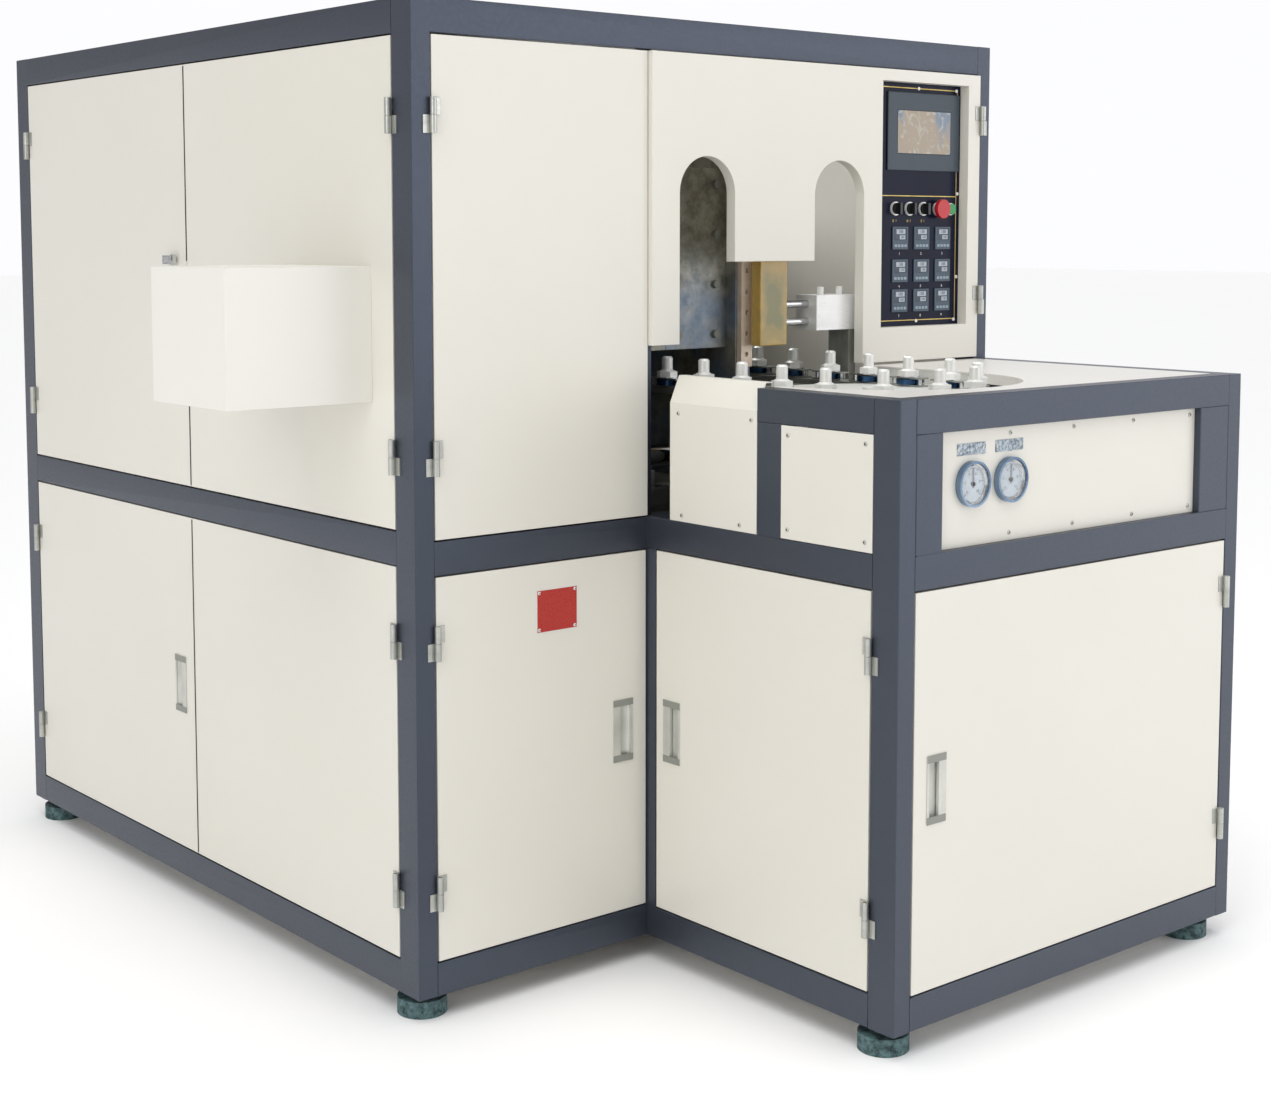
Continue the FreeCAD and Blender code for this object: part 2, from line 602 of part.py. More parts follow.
def side_doors():
    """Two pairs of doors on the left side, seen from outside with the back to the left."""
    meeting = "(cab_d / 2 - 5)"
    back_y, front_y = "(cab_d - tube_a - gap)", "(tube_a + gap)"
    outer = box("hood_outer", "0 - hood_out", HOOD_Y, HOOD_Z, "hood_out", "hood_l", "hood_h")
    inner = box("hood_inner", "sheet - hood_out", f"{HOOD_Y} + sheet", f"{HOOD_Z} + sheet", "hood_out",
                "hood_l - 2 * sheet", "hood_h - 2 * sheet")
    hood = cut("cylinder_hood", outer, inner)
    rooms = (("upper", f"{SIDE} + gap", f"{TOP} - tube_a - {SIDE} - 2 * gap", UPPER_HINGES),
             ("lower", "foot_h + tube_a + gap", f"{SIDE} - foot_h - 2 * tube_a - 2 * gap", LOWER_HINGES))
    for name, z, height, hinge_z in rooms:
        windows, back_windows = (), ()
        if name == "upper":
            windows = ((f"{meeting} - 1 - {HOOD_Y} - hood_l + hood_rim", f"{HOOD_Z} + hood_rim - ({z})",
                        "hood_l - 2 * hood_rim", "hood_h - 2 * hood_rim"),)
        else:
            back_windows = ((f"{back_y} - {meeting} - 82", "grip_up", "grip_w", "grip_h"),)
        front = folded_door(f"side_{name}_front", "0", f"{meeting} - 1", z, -90,
                            f"({meeting} - 1 - {front_y})", height, windows)
        back = folded_door(f"side_{name}_back", "0", back_y, z, -90,
                           f"({back_y} - {meeting} - 1)", height, back_windows)
        front_leaves = [hinge(f"side_{name}_front_{i}", "0 - pin_out", "tube_a + gap / 2", at, -90, -1)
                        for i, at in enumerate(hinge_z)]
        back_leaves = [hinge(f"side_{name}_back_{i}", "0 - pin_out", "cab_d - tube_a - gap / 2", at, -90, 1)
                       for i, at in enumerate(hinge_z)]
        extra = [hood] if name == "upper" else []
        node(f"side_door_{name}_front", group(f"side_door_{name}_front", [front] + front_leaves + extra))
        node(f"side_door_{name}_back", group(f"side_door_{name}_back", [back] + back_leaves))
    recessed_grip("side_lower_handle", "0", f"{meeting} + 82", "foot_h + tube_a + gap + grip_up", -90, 1)
    latch_y, latch_z = f"{meeting} + 53", f"{SIDE} + 467"
    boss = rod("latch_boss", "x", "0 - 8", latch_y, latch_z, "11", "8")
    bar = box("latch_bar", "0 - 18", f"{latch_y} - 20", f"{latch_z} - 9", "10", "40", "18")
    node("door_latch", fuse("latch", boss, bar))


def window_door():
    """The right front door: two arches, a tongue between them and the control window."""
    left = "(low_x + gap)"
    width = f"(cab_w - tube_b - gap - {left})"
    floor_z = "right_leg_z"
    total = f"({TOP} - tube_a - gap - {floor_z})"
    leg, tongue = f"(leg_z - {floor_z})", f"(tongue_z - {floor_z})"
    spring = f"(arch_top - arch_w / 2 - {floor_z})"
    first, second = "(arch_left)", "(arch_left + arch_w)"
    third, fourth = "(arch_left + arch_w + arch_mid)", "(arch_left + 2 * arch_w + arch_mid)"

    def edge(inset):
        """The door's edge, moved inwards by the inset."""
        return [(inset, f"{leg} + {inset}"), (f"{first} - {inset}", f"{leg} + {inset}"),
                (f"{first} - {inset}", spring, "arch"), (f"{second} + {inset}", spring),
                (f"{second} + {inset}", f"{tongue} + {inset}"), (f"{third} - {inset}", f"{tongue} + {inset}"),
                (f"{third} - {inset}", spring, "arch"), (f"{fourth} + {inset}", spring),
                (f"{fourth} + {inset}", inset), (f"{width} - {inset}", inset),
                (f"{width} - {inset}", f"{total} - {inset}"), (inset, f"{total} - {inset}")]

    window = (f"({width} - win_left + tube_b - win_w)", f"(win_z - {floor_z})", "win_w", "win_h")
    body = new_body("window_door_body", left, "0 - proud", floor_z)
    skin = new_sketch(body, "window_skin", "XZ_Plane")
    outline(skin, edge("0"))
    rectangle(skin, *window)
    pad(body, skin, "sheet", backwards=True)
    fold = new_sketch(body, "window_fold", "XZ_Plane")
    outline(fold, edge("0"))
    outline(fold, edge("sheet"))
    pad(body, fold, "door_t", backwards=True)
    frame = new_sketch(body, "window_frame", "XZ_Plane")
    across, up, dx, dy = window
    rectangle(frame, *window)
    rectangle(frame, f"{across} - sheet", f"{up} - sheet", f"{dx} + 2 * sheet", f"{dy} + 2 * sheet")
    pad(body, frame, "door_t", backwards=True)
    leaves = [hinge(f"window_{i}", "cab_w - tube_b - gap / 2", "0 - proud - pin_out", at, 0, -1, "proud")
              for i, at in enumerate((f"{TOP} - 160", "right_leg_z + 124"))]
    node("window_door", group("window_door", [body] + leaves))


def low_doors():
    base = "foot_h + tube_a + gap"
    height = "low_rail - 2 * tube_a - 2 * gap"
    length = "(low_d - tube_a - slim_post - 2 * gap)"
    left = folded_door("low_left_door", "low_x", "0 - slim_post - gap", base, -90, length, height,
                       (("53 - slim_post - gap", "grip_up", "grip_w", "grip_h"),))
    left_leaves = [hinge(f"low_left_{i}", "low_x - pin_out", "tube_a + gap / 2 - low_d", at, -90, -1)
                   for i, at in enumerate((f"{LOW_RAIL} - 173", "foot_h + 191"))]
    node("low_left_door", group("low_left_door", [left] + left_leaves))
    recessed_grip("low_left_handle", "low_x", "0 - 53", f"{base} + grip_up", -90, -1)
    width = f"(cab_w - tube_b - gap - {INNER_LOW} - gap)"
    front = folded_door("low_front_door", f"{INNER_LOW} + gap", "0 - low_d", base, 0, width, height,
                        (("36", "grip_up", "grip_w", "grip_h"),))
    front_leaves = [hinge(f"low_front_{i}", "cab_w - tube_b - gap / 2", "0 - low_d - pin_out", at, 0, -1)
                    for i, at in enumerate((f"{LOW_RAIL} - 163", "foot_h + 191"))]
    node("low_front_door", group("low_front_door", [front] + front_leaves))
    recessed_grip("low_front_handle", f"{INNER_LOW} + gap + 36", "0 - low_d", f"{base} + grip_up", 0, 1)


# ---------------------------------------------------------------- control panel

PLATE_LEFT = "(cab_w - gap - win_left - win_w)"
PLATE_FACE = "(door_t - proud)"
SELECTORS = ("65", "109", "152")
STOP_BUTTON = "198"
START_BUTTON = "238"
BUTTON_Z = "(win_z + 248)"


def control_panel():
    """Plate behind the control window with the screen, the controllers and the buttons."""
    overlap = "7"
    plate = box("control_sheet", f"{PLATE_LEFT} - {overlap}", PLATE_FACE, f"win_z - {overlap}",
                f"win_w + 2 * {overlap}", "sheet", f"win_h + 2 * {overlap}")
    behind, through = f"{PLATE_FACE} - 1", "sheet + 2"
    holes = [box("hmi_hole", f"{PLATE_LEFT} + 46", behind, "win_z + 336", "208", through, "148")]
    bezel = box("hmi_bezel", f"{PLATE_LEFT} + 38", f"{PLATE_FACE} - 4", "win_z + 328", "224", "4", "164")
    rear = box("hmi_rear", f"{PLATE_LEFT} + 46.5", PLATE_FACE, "win_z + 336.5", "207", "42", "147")
    well = box("hmi_well", f"{PLATE_LEFT} + 68", f"{PLATE_FACE} - 5", "win_z + 364", "166", "3", "90")
    node("screen_case", cut("screen_case", fuse("hmi_solid", bezel, rear), well))
    node("screen_glass", box("screen_glass", f"{PLATE_LEFT} + 68.2", f"{PLATE_FACE} - 3.4", "win_z + 364.2",
                             "165.6", "1.4", "89.6"))
    controllers = []
    for row, up in enumerate((186, 117, 54)):
        for column in range(3):
            x = f"({PLATE_LEFT} + 81 + 67 * {column})"
            name = f"controller_{row}{column}"
            z = f"(win_z + {up})"
            front = box(name + "_front", f"{x} - 24", f"{PLATE_FACE} - 3", f"{z} - 24", "48", "3", "48")
            deep = box(name + "_deep", f"{x} - 22", PLATE_FACE, f"{z} - 22", "44", "70", "44")
            shown = box(name + "_shown", f"{x} - 19", f"{PLATE_FACE} - 4", f"{z} - 4", "38", "1.8", "24")
            controllers.append(cut(name, fuse(name + "_solid", front, deep), shown))
            holes.append(box(name + "_hole", f"{x} - 22.5", behind, f"{z} - 22.5", "45", through, "45"))
    node("temperature_controllers", group("temperature_controllers", controllers))
    rings = []
    for i, across in enumerate(SELECTORS + (STOP_BUTTON, START_BUTTON)):
        x = f"({PLATE_LEFT} + {across})"
        radius = "13" if i == 4 else "14.5"
        collar = rod(f"collar_{i}", "y", x, f"{PLATE_FACE} - 4", BUTTON_Z, radius, "4")
        barrel = rod(f"barrel_{i}", "y", x, PLATE_FACE, BUTTON_Z, "11", "38")
        bore = rod(f"ring_bore_{i}", "y", x, f"{PLATE_FACE} - 5", BUTTON_Z, "9", "25")
        rings.append(cut(f"ring_{i}", fuse(f"ring_solid_{i}", collar, barrel), bore))
        holes.append(rod(f"button_hole_{i}", "y", x, behind, BUTTON_Z, "11.1", through))
    node("control_plate", cut("control_plate", plate, *holes))
    for i, across in enumerate(SELECTORS):
        x = f"({PLATE_LEFT} + {across})"
        spindle = rod(f"selector_spindle_{i}", "y", x, f"{PLATE_FACE} - 6", BUTTON_Z, "8.9", "20")
        head = rod(f"selector_head_{i}", "y", x, f"{PLATE_FACE} - 10", BUTTON_Z, "12", "5.5")
        wing = box(f"selector_wing_{i}", f"{x} - 3.5", f"{PLATE_FACE} - 20", f"{BUTTON_Z} - 12",
                   "7", "11", "24")
        node(f"selector_{i + 1}", fuse(f"selector_{i + 1}", spindle, head, wing))
    x = f"({PLATE_LEFT} + {STOP_BUTTON})"
    stem = rod("stop_stem", "y", x, f"{PLATE_FACE} - 14", BUTTON_Z, "8.9", "24")
    cap = rod("stop_cap", "y", x, f"{PLATE_FACE} - 20", BUTTON_Z, "20", "9")
    node("stop_button", fuse("stop_button", stem, cap))
    x = f"({PLATE_LEFT} + {START_BUTTON})"
    stem = rod("start_stem", "y", x, f"{PLATE_FACE} - 8", BUTTON_Z, "8.9", "23")
    cap = rod("start_cap", "y", x, f"{PLATE_FACE} - 9", BUTTON_Z, "11.5", "1.5")
    node("start_button", fuse("start_button", stem, cap))
    screws = []
    for across in ("14", "win_w / 2", "win_w - 14"):
        for up in ("10", "win_h - 10"):
            screws.append(rod(f"plate_screw_{len(screws)}", "y", f"{PLATE_LEFT} + {across}",
                              f"{PLATE_FACE} - 2.2", f"win_z + {up}", "3.5", "2.2"))
    for across in ("7", "win_w - 7"):
        for up in ("win_h / 5", "win_h * 11 / 20"):
            screws.append(rod(f"plate_screw_{len(screws)}", "y", f"{PLATE_LEFT} + {across}",
                              f"{PLATE_FACE} - 2.2", f"win_z + {up}", "3.5", "2.2"))
    node("plate_fittings", group("plate_fittings", rings + screws))


# ---------------------------------------------------------------- chain

def wheel(name, y, driven):
    """A flat disc on a short shaft. The driven one has a thick rim under the disc."""
    body = new_body(name + "_body", "row_mid", y, "disc_top - disc_t")
    sketch = new_sketch(body, name + "_profile", "XZ_Plane")
    hub = "0 - 60"
    outline(sketch, [("0", hub), ("45", hub), ("45", "0"), ("disc_r", "0"), ("disc_r", "disc_t"),
                     ("30", "disc_t"), ("30", "disc_t + 14"), ("0", "disc_t + 14")])
    lathe(body, sketch)
    shaft_low = f"({RAIL} + gear_h - 20)" if driven else "(disc_top - bearing_h + 4)"
    parts = [body, rod(name + "_shaft", "z", "row_mid", y, shaft_low, "20", f"disc_top - 46 - {shaft_low}")]
    if driven:
        parts.append(rod(name + "_rim", "z", "row_mid", y, "disc_top - disc_t - 14", "turn_r - 40", "14"))
    return fuse(name + "_wheel", *parts)


def chain_path(distance):
    """A point of the chain's loop and its heading, measured from the front end of the left row."""
    straight = value("rear_turn + front_turn")
    radius = value("turn_r")
    arc = math.pi * radius
    x0, y0 = value("row_mid"), value("0 - front_turn")
    distance %= 2 * (straight + arc)
    if distance < straight:
        return x0 - radius, y0 + distance, math.pi / 2
    distance -= straight
    if distance < arc:
        angle = math.pi - distance / radius
        return x0 + radius * math.cos(angle), y0 + straight + radius * math.sin(angle), angle - math.pi / 2
    distance -= arc
    if distance < straight:
        return x0 + radius, y0 + straight - distance, -math.pi / 2
    angle = -(distance - straight) / radius
    return x0 + radius * math.cos(angle), y0 + radius * math.sin(angle), angle - math.pi / 2


def chain():
    """Link blocks and mandrels all round the loop, with one mandrel under each cavity."""
    loop = 2 * (value("rear_turn + front_turn") + math.pi * value("turn_r"))
    count = int(loop / value("pitch"))
    step = loop / count
    first = value("clamp_y + front_turn") - step / 2
    top = value("disc_top + run + link_t")
    origin = FreeCAD.Vector(value(ORIGIN_X), value(ORIGIN_Y), 0)

    block = doc.addObject("Part::Box", "link_block")
    for prop, text in (("Length", "pitch - 26"), ("Width", "36"), ("Height", "link_t")):
        tie(block, prop, text)
    hole = doc.addObject("Part::Cylinder", "link_hole")
    tie(hole, "Radius", "12.1")
    tie(hole, "Height", "link_t")
    tie(hole, "Placement.Base.x", "(pitch - 26) / 2")
    tie(hole, "Placement.Base.y", "18")
    link = cut("chain_link", block, hole)

    mandrel = doc.addObject("PartDesign::Body", "mandrel_body")
    profile = new_sketch(mandrel, "mandrel_profile", "XZ_Plane")
    outline(profile, [("7", "0"), ("12", "0"), ("12", "link_t + 0.2"), ("21", "link_t + 0.2"),
                      ("21", "link_t + 9"), ("13", "link_t + 12"), ("10.5", "link_t + 14"),
                      ("10.5", "link_t + 38"), ("8.5", "link_t + 42"), ("7", "link_t + 42")])
    lathe(mandrel, profile)
    doc.recompute()

    links, mandrels = [], []
    for i in range(count):
        x, y, heading = chain_path(first + i * step)
        spot = FreeCAD.Vector(x, y, top - value("link_t")) - origin
        spin = FreeCAD.Rotation(FreeCAD.Vector(0, 0, 1), math.degrees(heading))
        corner = spin.multVec(FreeCAD.Vector(-value("pitch - 26") / 2, -18, 0))
        for source, base, kept in ((link, spot + corner, links), (mandrel, spot, mandrels)):
            copy = source.Shape.copy()
            copy.Placement = FreeCAD.Placement(base, spin)
            kept.append(copy)
    for name, shapes in (("chain_links", links), ("mandrels", mandrels)):
        item = doc.addObject("Part::Feature", name)
        item.Shape = Part.makeCompound(shapes)
        node(name, item)


CAVITIES = ("clamp_y - pitch / 2", "clamp_y + pitch / 2")


def chain_guides():
    """Flat rails under both rows, on posts that stand on the bed."""
    rails, posts = [], []
    edge = "sqrt(disc_r ^ 2 - (turn_r - 15) ^ 2)"
    start, stop = f"({edge} + 8 - front_turn)", f"(rear_turn - {edge} - 8)"
    low = "disc_top - 12"
    for side, x in (("left", "row_mid - turn_r"), ("right", "row_mid + turn_r")):
        rail = box(f"guide_{side}", f"{x} - 15", start, low, "30", f"{stop} - {start}", "12")
        if side == "left":
            holes = [rod(f"guide_hole_{i}", "z", "row_x", y, f"{low} - 1", "10", "14")
                     for i, y in enumerate(CAVITIES)]
            rail = cut("guide_left_cut", rail, *holes)
        rails.append(rail)
        for i, y in enumerate(("clamp_y - tie_y - tie_r - 48", "(clamp_y + rear_turn) / 2", f"{stop} - 50")):
            posts.append(box(f"guide_post_{side}_{i}", f"{x} - 12", y, RAIL, "24", "40", f"{low} - {RAIL}"))
    return rails + posts


def wheels():
    node("front_wheel", wheel("front", "0 - front_turn", False))
    node("drive_wheel", wheel("drive", "rear_turn", True))
    housings = []
    for name, y, low in (("front", "0 - front_turn", "disc_top - bearing_h"),
                         ("drive", "rear_turn", f"{RAIL} + gear_h")):
        height = f"disc_top - disc_t - 64 - ({low})"
        solid = rod(name + "_bearing", "z", "row_mid", y, low, "48", height)
        bore = rod(name + "_bearing_bore", "z", "row_mid", y, f"{low} - 1", "20.05", f"{height} + 2")
        housings.append(cut(name + "_housing", solid, bore))
    motor_z = f"{RAIL} + gear_h / 2"
    motor = rod("motor", "x", "row_mid + 70", "rear_turn", motor_z, "48", "150")
    fan = rod("motor_fan", "x", "row_mid + 220", "rear_turn", motor_z, "50", "30")
    gears = box("gear_case", "row_mid - 70", "rear_turn - 60", RAIL, "140", "120", "gear_h")
    socket = rod("gear_socket", "z", "row_mid", "rear_turn", f"{RAIL} + gear_h - 30", "20.3", "31")
    drive = cut("motor_and_gears", fuse("motor_solid", gears, motor, fan), socket)
    node("gear_motor", group("gear_motor", [drive] + housings))


# ---------------------------------------------------------------- clamp and moulds

def machine_bed(guides):
    """Thick plate on the middle rails with the slide rails and the chain's guide rails."""
    plate = box("bed_plate", "tube_b + 1", "tube_b + 1", f"{RAIL} - bed_t",
                "cab_w - 2 * tube_b - 2", "cab_d - 2 * tube_b - 2", "bed_t")
    slots = [rod(f"rod_hole_{i}", "z", "row_x", y, f"{RAIL} - bed_t - 1", "16", "bed_t + 2")
             for i, y in enumerate(CAVITIES)]
    plate = cut("bed_plate_cut", plate, *slots)
    rail_h = f"platen_z - 0.5 - {RAIL}"
    rails = [box(f"slide_rail_{i}", "60", f"clamp_y + {s} * 140 - 17", RAIL, "880", "34", rail_h)
             for i, s in enumerate((-1, 1))]
    node("machine_bed", group("machine_bed", [plate] + rails + guides))


def tie_spots():
    for s in (-1, 1):
        for z in ("tie_low", "tie_high"):
            yield f"clamp_y + {s} * tie_y", z


def platen(name, x):
    return box(name, x, "clamp_y - platen_l / 2", "platen_z", "platen_t", "platen_l", "platen_h")


def clamp():
    """The right platen, the tie bars and the cylinder move as one; the left platen runs on the bars."""
    left_x = "row_x - mould_t - platen_t"
    right_x = "row_x + mould_t"
    end_z, end_h = "tie_low - 60", "(tie_high - tie_low + 105)"
    bars, nuts, end_holes, left_holes, right_holes = [], [], [], [], []
    for i, (y, z) in enumerate(tie_spots()):
        length = f"({right_x} + platen_t + 30 - end_x + 20)"
        bars.append(rod(f"tie_bar_{i}", "x", "end_x - 20", y, z, "tie_r", length))
        for j, x in enumerate(("end_x - 20", f"{right_x} + platen_t")):
            outer = rod(f"tie_nut_{i}{j}", "x", x, y, z, "tie_r + 12", "20")
            inner = rod(f"tie_thread_{i}{j}", "x", f"{x} - 1", y, z, "tie_r", "22")
            nuts.append(cut(f"nut_{i}{j}", outer, inner))
        end_holes.append(rod(f"end_hole_{i}", "x", "end_x - 1", y, z, "tie_r", "platen_t + 2"))
        left_holes.append(rod(f"left_hole_{i}", "x", f"{left_x} - 1", y, z, "tie_r + 0.5", "platen_t + 2"))
        right_holes.append(rod(f"right_hole_{i}", "x", f"{right_x} - 1", y, z, "tie_r", "platen_t + 2"))
    node("tie_bars", group("tie_bars", bars + nuts))
    end_plate = box("end_plate", "end_x", "clamp_y - platen_l / 2", end_z, "platen_t", "platen_l", end_h)
    end_holes.append(rod("rod_gland", "x", "end_x - 1", "clamp_y", "axis_z", "rod_r + 0.5", "platen_t + 2"))
    cylinder_plate = cut("cylinder_plate", end_plate, *end_holes)
    left_plate = cut("left_platen_cut", platen("left_platen_block", left_x), *left_holes)
    node("right_platen", cut("right_platen_cut", platen("right_platen_block", right_x), *right_holes))
    half = "cyl_w / 2"
    length = "(end_x + cyl_out)"
    barrel = box("cylinder_block", "0 - cyl_out", f"clamp_y - {half}", f"axis_z - {half}",
                 length, "cyl_w", "cyl_w")
    bore = rod("cylinder_bore", "x", "20 - cyl_out", "clamp_y", "axis_z", "cyl_bore", f"{length} - 45")
    gland = rod("cylinder_gland", "x", "0", "clamp_y", "axis_z", "rod_r + 0.5", "end_x + 1")
    shell = cut("cylinder_shell", barrel, bore, gland)
    node("clamp_cylinder", group("clamp_cylinder", [shell, cylinder_plate]))
    piston = rod("clamp_piston", "x", "end_x - 85", "clamp_y", "axis_z", "cyl_bore - 0.3", "30")
    bar = rod("clamp_bar", "x", "end_x - 85", "clamp_y", "axis_z", "rod_r", f"{left_x} - end_x + 85")
    node("left_platen", group("left_platen", [left_plate, fuse("clamp_rod", piston, bar)]))


def mould_half(name, side):
    """A mould half with two half bottle cavities, open below for the mandrels."""
    x = "row_x - mould_t" if side < 0 else "row_x"
    block = box(name + "_block", x, "clamp_y - mould_l / 2", "mould_z", "mould_t", "mould_l", "mould_h")
    tools = []
    for i, y in enumerate(CAVITIES):
        neck = rod(f"{name}_neck_{i}", "z", "row_x", y, "mould_z - 1", "15", "42")
        shoulder = doc.addObject("Part::Cone", f"{name}_shoulder_{i}")
        tie(shoulder, "Radius1", "15")
        tie(shoulder, "Radius2", "bottle_r")
        tie(shoulder, "Height", "30")
        place(shoulder, "row_x", y, "mould_z + 41")
        belly = rod(f"{name}_belly_{i}", "z", "row_x", y, "mould_z + 71", "bottle_r", "bottle_h")
        opening = rod(f"{name}_open_{i}", "z", "row_x", y, "mould_z + 71 + bottle_h",
                      "bottle_r + 1", "mould_h - bottle_h - 70")
        tools += [neck, shoulder, belly, opening]
    node(name, cut(name, block, *tools))


def mould_fittings():
    """Drilled water manifold on the right platen's front edge, and the mould's bolts."""
    x, y, low = "row_x + mould_t + 5", "clamp_y - platen_l / 2 - 12", "mould_z - 38"
    bar = box("manifold_bar", x, y, low, "30", "12", "215")
    holes = [rod(f"manifold_hole_{i}", "y", f"{x} + 15", f"{y} - 1", f"{low} + 25 + 42 * {i}", "5", "8")
             for i in range(5)]
    bar = cut("manifold_cut", bar, *holes)
    bolts = []
    front = "clamp_y - mould_l / 2"
    for across in (30, 130):
        for up in (28, 128, 228, 328):
            bolts.append(rod(f"mould_bolt_{len(bolts)}", "y", f"row_x + {across}", f"{front} - 8",
                             f"mould_z + {up}", "8", "8"))
    node("mould_fittings", group("mould_fittings", [bar] + bolts))


def base_mould(stretch_frame):
    """Base plugs that close the cavities from above, lifted by a short cylinder on a bridge."""
    plugs = []
    top = "mould_z + mould_h"
    start = "mould_z + 71 + bottle_h + 0.5"
    for i, y in enumerate(CAVITIES):
        plugs.append(rod(f"plug_{i}", "z", "row_x", y, start, "bottle_r - 0.5", f"{top} + 6 - ({start})"))
    plate = box("plug_plate", "row_x - 45", "clamp_y - 110", f"{top} + 6", "90", "220", "16")
    stem = rod("plug_rod", "z", "row_x", "clamp_y", f"{top} + 22", "10", "75")
    node("base_mould", fuse("base_mould", plate, stem, *plugs))
    arm_z = f"({top} + 92)"
    back_y = "clamp_y + platen_l / 2 + 40"
    arm = box("bridge_arm", "row_x - 60", "clamp_y - 60", arm_z, "120", "platen_l / 2 + 160", "20")
    leg = box("bridge_leg", "row_x - 60", back_y, RAIL, "120", "60", f"{arm_z} - {RAIL}")
    hole = rod("bridge_bore", "z", "row_x", "clamp_y", f"{arm_z} - 1", "10.5", "24")
    passage = box("bridge_passage", "row_x - 45", f"{back_y} - 1", "disc_top - 30", "90", "62", "120")
    bridge = cut("bridge", fuse("bridge_solid", arm, leg), hole, passage)
    block = rod("lift_barrel", "z", "row_x", "clamp_y", f"{arm_z} + 20", "40", "70")
    bore = rod("lift_bore", "z", "row_x", "clamp_y", f"{arm_z} + 19", "10.5", "60")
    node("mould_bridge", group("mould_bridge", [bridge, cut("lift_cylinder", block, bore)] + stretch_frame))


def stretch_unit():
    """Two stretch rods below the bed, pushed up through the mandrels by a long cylinder."""
    head_z = f"({RAIL} - bed_t - 120)"
    guide = box("stretch_guide", "row_x - 60", "clamp_y - 110", head_z, "120", "220", "30")
    rods, bores = [], []
    rod_low = f"({head_z} - 262)"
    for i, y in enumerate(CAVITIES):
        rods.append(rod(f"stretch_rod_{i}", "z", "row_x", y, rod_low, "5", f"disc_top - 20 - {rod_low}"))
        bores.append(rod(f"stretch_bore_{i}", "z", "row_x", y, f"{head_z} - 1", "5.1", "32"))
    hangers = [box(f"stretch_hanger_{i}", f"row_x + {s} * 52 - 8", "clamp_y - 110", f"{head_z} + 30",
                   "16", "220", "90") for i, s in enumerate((-1, 1))]
    guide = cut("stretch_guide_cut", fuse("stretch_guide_solid", guide, *hangers), *bores)
    yoke = box("stretch_yoke", "row_x - 30", "clamp_y - 80", f"{head_z} - 282", "60", "165", "20")
    node("stretch_rods", fuse("stretch_rods", yoke, *rods))
    block = box("stretch_barrel", "row_x - 30", "clamp_y + 90", f"{head_z} - 300", "60", "60", "300")
    foot = box("stretch_foot", "row_x - 30", "clamp_y + 110", head_z, "60", "20", "30")
    return [guide, fuse("stretch_cylinder", block, foot)]


def blow_head():
    """Two blow nozzles that seal under the mandrels."""
    nozzles = []
    for i, y in enumerate(CAVITIES):
        outer = rod(f"nozzle_{i}", "z", "row_x", y, f"{RAIL} + 60", "14", "90")
        bore = rod(f"nozzle_bore_{i}", "z", "row_x", y, f"{RAIL} + 1", "7", "160")
        nozzles.append((outer, bore))
    block = box("nozzle_block", "row_x - 30", "clamp_y - 90", f"{RAIL} + 20", "60", "180", "40")
    return cut("blow_head", fuse("blow_solid", block, *[n[0] for n in nozzles]), *[n[1] for n in nozzles])


def transfer_unit():
    """Guided cylinder on a bracket, with two rods and a pusher block in front of the moulds."""
    y0 = "(clamp_y - platen_l / 2 - 60)"
    z0 = "(mould_z + 32)"
    body_x = "(row_mid + turn_r - 50)"
    barrel = box("transfer_block", body_x, y0, z0, "115", "60", "72")
    bores = [rod(f"transfer_bore_{i}", "x", f"{body_x} - 1", f"{y0} + 30", f"{z0} + {up}", "8.1", "100")
             for i, up in enumerate((18, 54))]
    barrel = cut("transfer_barrel", barrel, *bores)
    rods = [rod(f"transfer_rod_{i}", "x", f"{body_x} - 70", f"{y0} + 30", f"{z0} + {up}", "8", "150")
            for i, up in enumerate((18, 54))]
    node("transfer_rods", group("transfer_rods", rods))
    node("pusher_block", box("pusher_block", f"{body_x} - 145", f"{y0} + 14", f"{z0} - 28", "75", "28", "172"))
    column = box("transfer_column", f"{body_x} + 95", y0, RAIL, "20", "60", f"{z0} - {RAIL}")
    foot = box("transfer_foot", f"{body_x} + 95", y0, RAIL, "70", "60", "12")
    bracket = fuse("transfer_bracket", column, foot)
    ports = [rod(f"port_{i}", "z", f"{body_x} + {across}", f"{y0} + 20", f"{z0} + 72", "7", "16")
             for i, across in enumerate((30, 85))]
    node("transfer_cylinder", group("transfer_cylinder", [barrel, bracket] + ports))


# ---------------------------------------------------------------- oven and services

def oven():
    """Open oven beside the right row: a back reflector, end cheeks and seven lamps."""
    x0, y0 = "row_mid + turn_r + 60", "clamp_y + 293"
    length = "(rear_turn - clamp_y - 498)"
    floor_z = "disc_top + 22"
    back = box("oven_back", f"{x0} + 150", y0, RAIL, "30", length, f"{floor_z} + 384 - {RAIL}")
    cheeks = [box(f"oven_cheek_{i}", x0, f"{y0} + {i} * ({length} - 12)", f"{floor_z} + 12", "150", "12", "360")
              for i in range(2)]
    shelf = box("oven_shelf", x0, y0, floor_z, "150", length, "12")
    housing = fuse("oven_housing", back, shelf, *cheeks)
    lamps = [rod(f"lamp_{i}", "y", f"{x0} + 100", f"{y0} + 12", f"{floor_z} + 47 + 45 * {i}",
                 "6", f"{length} - 24") for i in range(7)]
    node("oven", group("oven", [housing] + lamps))


